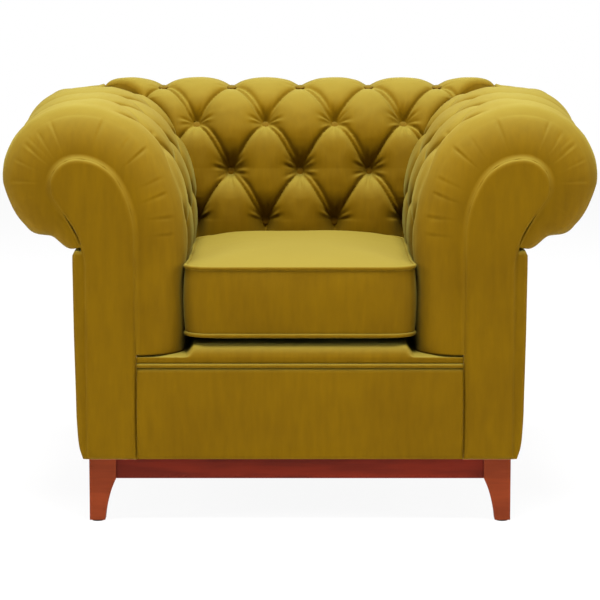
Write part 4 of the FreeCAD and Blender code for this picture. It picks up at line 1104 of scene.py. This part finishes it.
@dataclass
class BackUpholstery(Upholstery):
    """The tufted inside, crest and roll of the back, between the mitres."""

    grain: float = 2.4
    foot_fade: tuple = (-90, 0)
    foot_calm: float = 0.6
    coarse: float = 1.0
    seeds: tuple = (4.0, 9.0)
    end_dip: float = 12.0
    end_reach: float = 10.0

    def surface(self, section: tuple, x: np.ndarray, end: np.ndarray) -> np.ndarray:
        """Places the section's points across the back.

        Args:
            section: points at the pleats, outward normals and runs.
            x: the place of each point across the back.
            end: how far out the back ends at each point.

        Returns:
            An array of x, y, z rows.
        """
        points, outs, runs = section[:3]
        height = BACK_TUFTS.height(BACK.row_of(runs), x / BACK_TUFTS.pitch + 1, BACK.on_roll(runs))
        height = BACK.calmed(height, runs, self.foot_fade, self.foot_calm)
        u, z = (points + outs * RIPPLE_OUT).T
        flat = upright(u, z, x, across=True)
        height = height + BACK.unevenness(flat, runs, self.coarse, self.seeds)
        height = height - self.end_dip * np.exp(-np.maximum(end - np.abs(x), 0.0) / self.end_reach)
        placed = points + outs * height[:, None]
        return upright(placed[:, 0], placed[:, 1], x, across=True)

    def mitre(self, y: np.ndarray) -> np.ndarray:
        """Where the back meets the arms' mitre, for points a distance back."""
        return np.minimum(ARM.axis, ARM.axis - (BACK.axis - y) / MITRE) - JOIN

    def build(self) -> None:
        """Builds the back's upholstery."""
        section = BACK.skin(self.grain)
        inside = BACK.inside_line()
        inside_limit = self.mitre(inside[:, 0])
        limit = np.full(len(section[0]), ARM.axis)
        for _ in range(4):
            limit = self.mitre(self.surface(section, limit, limit)[:, 1])
        rings = []
        for share in np.linspace(-1, 1, int(2 * ARM.axis / self.grain)):
            squeeze = np.sign(share) * abs(share) ** 5
            ring = self.surface(section, share * ARM.axis + (limit - ARM.axis) * squeeze, limit)
            x_in = share * ARM.axis + (inside_limit - ARM.axis) * squeeze
            rings.append(np.vstack([ring, upright(inside[:, 0], inside[:, 1], x_in, across=True)]))
        thing = capped_tube("back_velvet", rings)
        self.finishes.dress(thing, Body.CHAIR, Slot.VELVET, ("back_upholstery",), 0.85)


@dataclass
class CornerUpholstery(Upholstery):
    """The gathered quarter turn where an arm's roll meets the back's."""

    steps: int = 72
    overlap: float = 0.8
    pillow: float = 11.0
    gather: float = 6.0
    sink: float = 2.0
    floor: float = 668.0
    shoulder_rise: float = 20.0
    belly_rise: float = 7.0
    crest: tuple = (90.0, 80.0)
    crest_drop: float = 25.0

    def build(self) -> None:
        """Builds the right corner and mirrors it to the left."""
        points, outs, runs, _ = ARM.skin(4.0)
        start = int(np.argmax(points[:, 1]))
        points, outs, runs = points[start:], outs[start:], runs[start:]
        inside = ARM.inside_line()
        inside = np.vstack([inside[inside[:, 0] >= ARM.axis + 2], [ARM.axis + 2, self.floor]])
        rings = []
        for share in np.linspace(0, 1, self.steps + 1):
            angle = share * math.pi / 2
            outer = points + outs * (self.height(runs, share) - self.sink)[:, None]
            reach = np.maximum(outer[:, 0] - ARM.axis, 0) + 0.3
            outer_ring = self.place(angle, reach, outer[:, 1])
            inner_ring = self.place(angle, inside[:, 0] - ARM.axis + 1, inside[:, 1])
            rings.append(np.vstack([outer_ring, inner_ring]))
        right = capped_tube("corner_velvet_right", rings)
        self.finishes.dress_pair(right, "corner_upholstery", 0.85)

    def height(self, runs: np.ndarray, share: float) -> np.ndarray:
        """How far the velvet stands over the arm's section.

        Args:
            runs: the run at each point.
            share: how far round the corner the points are, from 0 at the arm to 1 at the back.

        Returns:
            Heights in millimetres.
        """
        grow = (BACK.roll_pad - ARM.roll_pad) * share
        pillow = self.pillow * min(1.0, 12 * share, 12 * (1 - share)) ** 0.5
        shoulder = self.shoulder_rise * ARM.swell(runs, *SHOULDER) * (1 - 0.5 * share)
        shoulder += self.belly_rise * ARM.swell(runs, *BELLY) * (1 - 0.5 * share)
        shoulder -= self.crest_drop * ARM.swell(runs, *self.crest) * (1 - 0.4 * share**2)
        spread = smooth_step(runs, ARM.clock(88.0), ARM.clock(30.0))
        gathers = self.gather * (1 - abs(math.sin(2.5 * math.pi * share)) ** 0.45) * spread
        return (grow + pillow + shoulder - gathers) * (1 - ARM.under_roll(runs))

    def place(self, angle: float, reach: np.ndarray, z: np.ndarray) -> np.ndarray:
        """Places a section in an upright plane through the corner's axis.

        Args:
            angle: how far the plane has turned, from the arm to the back.
            reach: how far each point is from the axis.
            z: how high each point is.

        Returns:
            An array of x, y, z rows.
        """
        x = ARM.axis - self.overlap + reach * math.cos(angle)
        y = BACK.axis - self.overlap + reach * math.sin(angle)
        return np.column_stack([x, y, z])


@dataclass
class Buttons(Upholstery):
    """Velvet-covered buttons at the bottom of the tufts."""

    radius: float = 10.6
    rise: float = 5.2
    shoulder: float = 1.6
    base: float = -1.0
    margin: float = 22.0
    lift: float = 1.5
    rings: int = 7
    around: int = 20

    def dome(self) -> tuple:
        """Points and faces of one button, standing on the origin."""
        rows = [(self.radius * 0.92, self.base)]
        for step in range(self.rings):
            angle = step / self.rings * math.pi / 2
            height = self.shoulder + (self.rise - self.shoulder) * math.sin(angle)
            rows.append((self.radius * math.cos(angle) ** 0.8, height))
        points = [[(0.0, 0.0, self.base)]]
        for reach, z in rows:
            points.append(np.column_stack([reach * circle(self.around), np.full(self.around, z)]))
        points.append([(0.0, 0.0, self.rise)])
        last, tip = 1 + self.rings * self.around, 1 + len(rows) * self.around
        faces = tube_faces(len(rows), self.around, start=1)
        for n in range(self.around):
            after = (n + 1) % self.around
            faces += [(0, 1 + after, 1 + n), (last + n, last + after, tip)]
        return np.vstack(points), faces

    def join(self, name: str, places: list) -> Thing:
        """One object with a button at each place.

        Args:
            name: the piece's name.
            places: base points and outward directions.

        Returns:
            The new object.
        """
        dome, dome_faces = self.dome()
        points, faces = [], []
        for base, out in places:
            turn = np.array(Vector(out).to_track_quat("Z", "Y").to_matrix())
            shift = len(points) * len(dome)
            points.append(dome @ turn.T + np.array(base))
            faces += [tuple(shift + n for n in face) for face in dome_faces]
        return mesh_object(name, np.vstack(points), faces)

    def room(self, point: tuple) -> float:
        """How far a point lies behind the mitre, negative on the arm's side."""
        return (point[1] - (BACK.axis - MITRE * (ARM.axis - abs(point[0])))) / math.hypot(1, MITRE)

    def stations(self, scroll: Scroll) -> list:
        """Finds where the button rows of a scroll lie.

        Args:
            scroll: the arms' or the back's.

        Returns:
            Row, base point and outward direction of each.
        """
        found = []
        for row, run, pit in zip(ROWS, scroll.tuft_runs, BACK_TUFTS.depths):
            (u, z), out = scroll.station(run)
            depth = float(scroll.depth_of(run)) - pit + self.lift
            found.append((row, (u + out[0] * depth, z + out[1] * depth), out))
        return found

    def build(self) -> None:
        """Builds the buttons of the back and of both arms."""
        back, arm = [], []
        for row, (y, z), out in self.stations(BACK):
            for n in range(-6, 7):
                at = (n * BACK_TUFTS.pitch, y, z)
                if (row + n + 1) % 2 == 0 and self.room(at) > self.margin:
                    back.append((at, (0.0, out[0], out[1])))
        for row, (x, z), out in self.stations(ARM):
            for n in range(7):
                at = (x, FIRST_COLUMN + ARM_TUFTS.pitch * n, z)
                if (row + n) % 2 == 0 and self.room(at) < -self.margin:
                    arm.append((at, (out[0], 0.0, out[1])))
        other = [((-p[0], p[1], p[2]), (-o[0], o[1], o[2])) for p, o in arm]
        for name, places, node in (
            ("back_covered_buttons", back, "back_buttons"),
            ("arm_covered_buttons_right", arm, "arm_buttons_right"),
            ("arm_covered_buttons_left", other, "arm_buttons_left"),
        ):
            self.finishes.dress(self.join(name, places), Body.CHAIR, Slot.BUTTONS, (node,))


@dataclass
class Facing(Upholstery):
    """The padded scroll panel on the front of an arm.

    Its front face is inset in steps, each a width inwards and a rise to the front.
    """

    inset: float = 0.1
    gap: float = 0.4
    flange: float = 0.4
    steps: tuple = ((2.4, 0.0), (0.4, 1.8), (0.8, 1.7), (1.4, 1.2), (2.4, 0.9), (4.0, 0.3))

    def outline(self) -> np.ndarray:
        """The arm board's whole outline, inset, as a closed line from the inner foot round."""
        found = []
        for run in [PLINTH_TOP - ARM.lean_start, *np.linspace(0, ARM.length, 120)]:
            (u, z), out = ARM.station(float(run))
            found.append((u - out[0] * self.inset, z - out[1] * self.inset))
        cu, cz = ARM.neck_centre
        reach = ARM.neck + self.inset
        for angle in np.linspace(math.pi - ARM.slope, math.pi, 26):
            found.append((cu + reach * math.cos(angle), cz + reach * math.sin(angle)))
        found.append((ARM.outer - self.inset, PLINTH_TOP))
        return np.array(found)

    def build(self) -> None:
        """Builds the right facing by insetting its outline in steps, and mirrors it."""
        line = self.outline()
        back = upright(line[:, 0], line[:, 1], FRONT - self.gap)
        right = mesh_object("facing_velvet_right", back, [list(range(len(line)))])
        make_active(right)
        bpy.ops.object.mode_set(mode="EDIT")
        bpy.ops.mesh.select_mode(type="FACE")
        bpy.ops.mesh.select_all(action="SELECT")
        way = (0, -self.flange * MM, 0)
        bpy.ops.mesh.extrude_region_move(TRANSFORM_OT_translate={"value": way})
        bpy.ops.object.mode_set(mode="OBJECT")
        for width, rise in self.steps:
            self.step_in(right, width, rise)
        outwards(right)
        self.finishes.dress_pair(right, "facing", 0.6)

    def step_in(self, thing: Thing, width: float, rise: float) -> None:
        """Insets the front face and raises it.

        Args:
            thing: the facing.
            width: how far the face goes inwards.
            rise: how far it goes to the front.
        """
        make_active(thing)
        front = min(thing.data.polygons, key=lambda face: face.center.y)
        for face in thing.data.polygons:
            face.select = face.index == front.index
        bpy.ops.object.mode_set(mode="EDIT")
        bpy.ops.mesh.inset(thickness=width * MM, depth=0.0, use_even_offset=True)
        bpy.ops.transform.translate(value=(0, -rise * MM, 0))
        bpy.ops.object.mode_set(mode="OBJECT")


@dataclass
class OutsidePanels(Upholstery):
    """The plain outside of the arms and the back, tucked in under the rolls.

    The section is given by shares of its height and how far it stands beyond the frame there.
    """

    top: float = 512.0
    rear: float = 274.7
    shares: tuple = (0.0, 0.012, 0.03, 0.085, 0.2, 0.316, 0.43, 0.6, 0.95, 1.0)
    reaches: tuple = (4.0, 7.5, 10.5, 14.0, 16.8, 17.6, 18.6, 20.0, 21.4, 21.0)
    turn_under: float = 4.0
    behind: float = 0.4
    tuck_in: tuple = (6.0, 0.3, 0.0)
    front_roll: tuple = ((-0.5, 0.0), (-0.3, 0.6), (1.5, 0.93), (5.0, 1.0))

    def section(self) -> np.ndarray:
        """The panel's section, as rows of reach and height, from the bottom up."""
        heights = np.linspace(0, 1, 46)
        reach = np.interp(heights, self.shares, self.reaches)
        reach = np.convolve(np.pad(reach, 1, mode="edge"), [0.25, 0.5, 0.25], mode="valid")
        reach[-1] -= self.turn_under
        return np.column_stack([reach, PLINTH_TOP + heights * (self.top - PLINTH_TOP)])

    def build(self) -> None:
        """Builds both sides and the back."""
        section = self.section()
        path = [(FRONT + y, 0.0, share) for y, share in self.front_roll]
        path += [(y, 0.0, 1.0) for y in np.linspace(FRONT + 20, self.rear, 60)]
        path += [(self.rear, angle, 1.0) for angle in np.linspace(0, math.pi / 2, 14)[1:]]
        rings = [self.side_ring(section, *step) for step in path]
        rings.insert(0, rings[0] - np.array(self.tuck_in))
        right = capped_tube("outside_velvet_right", rings)
        self.finishes.dress_pair(right, "outside_panel", 0.5)
        loop = np.vstack([section, [(self.behind, section[-1, 1]), (self.behind, PLINTH_TOP)]])
        rings = []
        for x in np.linspace(-ARM.outer + 0.6, ARM.outer - 0.6, 90):
            rings.append(upright(self.rear + loop[:, 0], loop[:, 1], x, across=True))
        thing = capped_tube("outside_velvet_back", rings)
        self.finishes.dress(thing, Body.CHAIR, Slot.VELVET, ("outside_panel_back",), 0.5)

    def side_ring(self, section: np.ndarray, y: float, angle: float, share: float) -> np.ndarray:
        """One ring of a side panel.

        Args:
            section: rows of reach and height.
            y: where the ring is along the arm.
            angle: how far it has turned round the rear corner.
            share: how much of the reach it has, less where the panel rolls in at the front.

        Returns:
            An array of x, y, z rows.
        """
        reach = self.behind + (section[:, 0] - self.behind) * share
        reach = np.concatenate([reach, [0.3, 0.3]])
        z = np.concatenate([section[:, 1], [section[-1, 1], PLINTH_TOP]])
        x, y = ARM.outer + reach * math.cos(angle), y + reach * math.sin(angle)
        return np.column_stack([x, y, z])


@dataclass
class SeatDeck(Upholstery):
    """The deck's front roll, the border under it and the piping between them.

    Sections are rows of y and z.
    """

    half: float = 304.6
    border_top: float = 292.4
    border_y: float = -445.0
    border_rear: float = -425.8
    bulge: float = 3.0
    cord_centre: tuple = (-442.4, 296.9)
    cord_radius: float = 4.2
    cover_z: float = 335.0
    cover_y: tuple = (-396.0, 86.0)
    side_drop: float = 18.8
    side_at: tuple = (196.0, 214.0)
    nose: tuple = (
        (-441.5, 301.5),
        (-443.6, 305.0),
        (-444.0, 314.0),
        (-441.0, 324.0),
        (-434.0, 331.0),
        (-422.0, 334.6),
        (-400.0, 335.0),
    )
    rear: tuple = ((98.0, 326.0), (112.0, 316.2), (150.0, 316.0), (195.0, 316.0), (195.0, 307.0))
    under: tuple = ((-100.0, 307.0), (-425.0, 307.0), (-425.6, 301.5))

    def swept(self, name: str, section: np.ndarray, steps: int) -> Thing:
        """Sweeps a closed section across the seat.

        Args:
            name: the piece's name.
            section: the section.
            steps: how many rings it gets.

        Returns:
            The new object.
        """
        places = np.linspace(-self.half, self.half, steps)
        return capped_tube(name, [upright(*section.T, x, across=True) for x in places])

    def build(self) -> None:
        """Builds the border, the piping and the deck."""
        z = np.linspace(PLINTH_TOP, self.border_top, 40)
        share = (z - PLINTH_TOP) / (self.border_top - PLINTH_TOP)
        y = self.border_y - self.bulge * np.sin(np.pi * share) ** 0.7
        y[[0, -1]] += 2.0
        rear = [[self.border_rear, self.border_top], [self.border_rear, PLINTH_TOP]]
        border = np.vstack([np.column_stack([y, z]), rear])
        thing = self.swept("front_border_velvet", border, 110)
        self.finishes.dress(thing, Body.CHAIR, Slot.VELVET, ("front_border",), 0.5)
        cord = np.array(self.cord_centre) + self.cord_radius * circle(16)
        thing = self.swept("front_piping_velvet", cord, 110)
        self.finishes.dress(thing, Body.CHAIR, Slot.PIPING, ("front_piping",))
        self.deck()

    def deck(self) -> None:
        """Builds the deck: a front roll that runs back under the cushion, lower beside it."""
        top = np.column_stack([np.linspace(*self.cover_y, 60), np.full(60, self.cover_z)])
        line = np.vstack([spline(self.nose, 48), top, self.rear, self.under])
        high = smooth_step(line[:, 1], self.cover_z - 25.0, self.cover_z)
        rings = []
        for x in np.linspace(-self.half, self.half, 150):
            drop = self.side_drop * smooth_step(abs(x), *self.side_at) * high
            rings.append(upright(line[:, 0], line[:, 1] - drop, x, across=True))
        thing = capped_tube("deck_velvet", rings)
        self.finishes.dress(thing, Body.CHAIR, Slot.VELVET, ("seat_deck",), 0.7)


@dataclass
class SeatCushion(Upholstery):
    """The loose cushion: crowned panels, a swelling border and piping at both edges.

    The insets are the steps inwards from the border, of the underside and of the top. Each
    wrinkle has a size, a seed and a height, and they push away from the heart.
    """

    half: float = 210.0
    front: float = -434.0
    back: float = 98.0
    seam_low: float = 352.5
    seam_high: float = 478.5
    crown: float = 27.0
    floor: float = 335.5
    corner: float = 46.0
    corner_shares: tuple = (1.6, 1.6, 1.0, 1.0)
    around: int = 240
    swell: float = 5.4
    fuller: float = 5.5
    cord_radius: float = 4.0
    wrinkles: tuple = ((95.0, 3.0, 1.3), (38.0, 7.0, 0.5))
    heart: tuple = (210.0, 266.0, 70.0)
    heart_z: float = 400.0
    low_insets: tuple = (190, 150, 110, 75, 48, 28, 15, 7, 2.5)
    top_insets: tuple = (1.5, 4, 8, 13, 20, 29, 40, 54, 70, 88, 108, 130, 152, 172, 190)

    @property
    def middle(self) -> float:
        """Y of the cushion's middle."""
        return (self.front + self.back) / 2

    def ring(self, inset: float, swell: float, z: float) -> np.ndarray:
        """The cushion's outline at a height, with its corners rounded.

        Args:
            inset: how far it lies inwards from the border.
            swell: how far the border swells out there.
            z: its height.

        Returns:
            An array of x, y, z rows.
        """
        x, y = self.half - inset, (self.back - self.front) / 2 - inset
        line = []
        for quarter, share in enumerate(self.corner_shares):
            bend = max(self.corner * share - 0.75 * inset, min(x, y) * 0.18)
            cx = (x - bend) * (1, -1, -1, 1)[quarter]
            cy = (y - bend) * (1, 1, -1, -1)[quarter]
            for angle in (quarter + np.linspace(0, 1, 16)) * math.pi / 2:
                line.append((cx + bend * math.cos(angle), cy + bend * math.sin(angle)))
        line = np.array(line + line[:1])
        walked = walked_along(line)
        line = evened(line, walked, np.linspace(0, walked[-1], self.around, endpoint=False))
        near_corner = (np.abs(line[:, 0]) / x) ** 6 * (np.abs(line[:, 1]) / y) ** 6
        rear = 0.6 * smooth_step(line[:, 1], y - 40.0, y)
        swells = swell * (1 - 0.6 * near_corner) * (1 - rear)
        line = line + loop_normals(line) * swells[:, None]
        ahead = 1 - smooth_step(line[:, 1], -y + 20.0, -y + 130.0)
        wider = self.fuller * ahead * (1 - inset / 200)
        line[:, 0] += wider * np.clip(line[:, 0] / 120.0, -1.0, 1.0)
        return np.column_stack([line[:, 0], line[:, 1] + self.middle, np.full(self.around, z)])

    def levels(self) -> list:
        """(inset, swell, height) from the middle of the underside to the middle of the top."""
        found = []
        drop = self.seam_low - 1 - self.floor
        for inset in self.low_insets:
            fall = (1 - (1 - inset / 195) ** 3.2) ** 0.9
            found.append((inset, 0.0, self.floor + drop * (1 - min(1.0, fall * 1.25))))
        tall = self.seam_high - self.seam_low
        for share in np.linspace(0.02, 0.98, 26):
            swell = self.swell * math.sin(math.pi * share) ** 0.75
            found.append((0.0, swell, self.seam_low + share * tall))
        for inset in self.top_insets:
            lift = 1 - (1 - min(inset / 170, 1.0)) ** 2.0
            found.append((inset, 0.0, self.seam_high + 1.0 + (self.crown - 1.0) * lift))
        return found

    def build(self) -> None:
        """Builds the cushion's cover and its two pipings."""
        rings = np.array([self.ring(*level) for level in self.levels()])
        flat = rings.reshape(-1, 3)
        wrinkle = sum(ripple(flat, size, seed) * height for size, seed, height in self.wrinkles)
        way = unit((flat - np.array([0, self.middle, self.heart_z])) / np.array(self.heart))
        z = flat[:, 2]
        near_seam = np.minimum(np.abs(z - self.seam_low), np.abs(z - self.seam_high))
        calm = smooth_step(near_seam, 2.0, 22.0) * smooth_step(z, self.floor + 12, self.floor + 40)
        flat = flat + way * (wrinkle * calm)[:, None]
        thing = capped_tube("cushion_velvet", list(flat.reshape(rings.shape)))
        nodes = ("cushion_top", "cushion_border", "cushion_underside")
        self.finishes.dress(thing, Body.CUSHION, Slot.VELVET, nodes, 0.8)
        for name, height, node in (
            ("cushion_cord_top", self.seam_high, "cushion_piping_top"),
            ("cushion_cord_low", self.seam_low, "cushion_piping_low"),
        ):
            self.finishes.dress(self.cord(name, height), Body.CUSHION, Slot.PIPING, (node,))

    def cord(self, name: str, height: float) -> Thing:
        """Makes a round piping that follows the cushion's edge.

        Args:
            name: the piece's name.
            height: the height of the seam that it follows.

        Returns:
            The new object.
        """
        line = self.ring(0.0, 0.0, height)
        section = self.cord_radius * circle(12)
        points = []
        for place, (x, y) in zip(line, loop_normals(line)):
            points.append(place + np.column_stack([section[:, :1] * (x, y), section[:, 1]]))
        count = self.around * len(section)
        faces = tube_faces(self.around + 1, len(section))
        faces = [tuple(n % count for n in face) for face in faces]
        thing = mesh_object(name, np.vstack(points), faces)
        outwards(thing)
        return thing


@dataclass
class Studio:
    """Camera, lamps, floor and white backdrop, in metres."""

    lens: float = 161.1
    camera_at: tuple = (0.0, -5.380, 1.102)
    look_at: tuple = (0.0, -0.450, 0.4219)
    lamps_at: tuple = (0.0, 0.0, 0.45)
    ambient: float = 0.13
    floor_tone: float = 0.86
    floor_glow: float = 0.93

    def build(self) -> None:
        """Builds the studio."""
        self.camera()
        self.world()
        self.lamps()
        self.floor()

    def aimed(self, name: str, data: bpy.types.ID, place: tuple, target: tuple) -> Thing:
        """Puts a camera or a lamp in its place.

        Args:
            name: the object's name.
            data: the camera or the lamp.
            place: where it stands.
            target: what it points at.

        Returns:
            The new object.
        """
        thing = bpy.data.objects.new(name, data)
        bpy.context.scene.collection.objects.link(thing)
        thing.location = place
        way = Vector(target) - Vector(place)
        thing.rotation_euler = way.to_track_quat("-Z", "Y").to_euler()
        return thing

    def camera(self) -> None:
        """Sets the camera at the photograph's view."""
        camera = bpy.data.cameras.new("photo_view")
        camera.lens = self.lens
        camera.sensor_width = 36.0
        camera.sensor_fit = "HORIZONTAL"
        camera.clip_end = 60.0
        bpy.context.scene.camera = self.aimed("photo_view", camera, self.camera_at, self.look_at)

    def world(self) -> None:
        """A soft grey surround that the camera sees as white."""
        world = bpy.data.worlds.new("studio")
        bpy.context.scene.world = world
        world.use_nodes = True
        tree = world.node_tree
        shade = tree.nodes["Background"]
        feed(tree, shade, {"Color": (1.0, 1.0, 1.0, 1.0), "Strength": self.ambient})
        white = add_node(tree, "Background", {"Color": (1.0, 1.0, 1.0, 1.0), "Strength": 1.0})
        values = {"Fac": self.seen_straight(tree), 1: shade.outputs[0], 2: white.outputs[0]}
        blend = add_node(tree, "MixShader", values).outputs[0]
        feed(tree, tree.nodes["World Output"], {"Surface": blend})

    def seen_straight(self, tree: Tree) -> Socket:
        """1 for what the camera sees, itself or in gloss and glass.

        Args:
            tree: the tree that gets the nodes.

        Returns:
            The socket.
        """
        path = tree.nodes.new("ShaderNodeLightPath").outputs
        either = math_node(tree, "MAXIMUM", path["Is Camera Ray"], path["Is Glossy Ray"])
        return math_node(tree, "MAXIMUM", either, path["Is Transmission Ray"])

    def lamps(self) -> None:
        """Large soft lamps over and beside the chair: place, size and power of each."""
        for name, place, size, power in (
            ("over", (0.0, -0.92, 3.4), 1.8, 370.0),
            ("left", (-3.3, -1.1, 1.0), 0.9, 88.0),
            ("right", (3.3, -1.1, 1.0), 0.9, 88.0),
            ("front_left", (-2.8, -3.8, 2.8), 1.6, 34.0),
            ("front_right", (3.0, -3.6, 2.6), 1.6, 25.0),
            ("rear", (0.0, 3.0, 3.0), 2.4, 80.0),
        ):
            lamp = bpy.data.lights.new(name, "AREA")
            lamp.energy = power
            lamp.size = size
            self.aimed(name, lamp, place, self.lamps_at)

    def floor(self) -> None:
        """A pale floor that keeps the chair's shadow and fades to white."""
        nothing_selected()
        bpy.ops.mesh.primitive_plane_add(size=14.0, location=(0, 0, 0))
        thing = bpy.context.active_object
        thing.name = "studio_floor"
        made = bpy.data.materials.new("studio_floor")
        made.use_nodes = True
        tree = made.node_tree
        shader = tree.nodes["Principled BSDF"]
        tone = (self.floor_tone, self.floor_tone, self.floor_tone, 1.0)
        feed(tree, shader, {"Base Color": tone, "Roughness": 0.9, "Specular IOR Level": 0.0})
        glow = add_node(tree, "Emission", {"Strength": 1.0}).outputs[0]
        seen = math_node(tree, "MULTIPLY", self.seen_straight(tree), self.floor_glow)
        both = add_node(tree, "MixShader", {"Fac": seen, 1: shader.outputs[0], 2: glow}).outputs[0]
        feed(tree, tree.nodes["Material Output"], {"Surface": both})
        thing.data.materials.append(made)


def main() -> None:
    """Builds the studio and dresses the chair."""
    logging.basicConfig(level=logging.INFO, format="%(message)s")
    scene = bpy.context.scene
    scene.view_settings.view_transform = "Standard"
    Studio().build()
    finishes = Finishes()
    finishes.dress_nodes()
    for assembly in (
        ArmUpholstery,
        BackUpholstery,
        CornerUpholstery,
        Buttons,
        Facing,
        OutsidePanels,
        SeatDeck,
        SeatCushion,
    ):
        assembly(finishes).build()


if __name__ == "__main__":
    main()
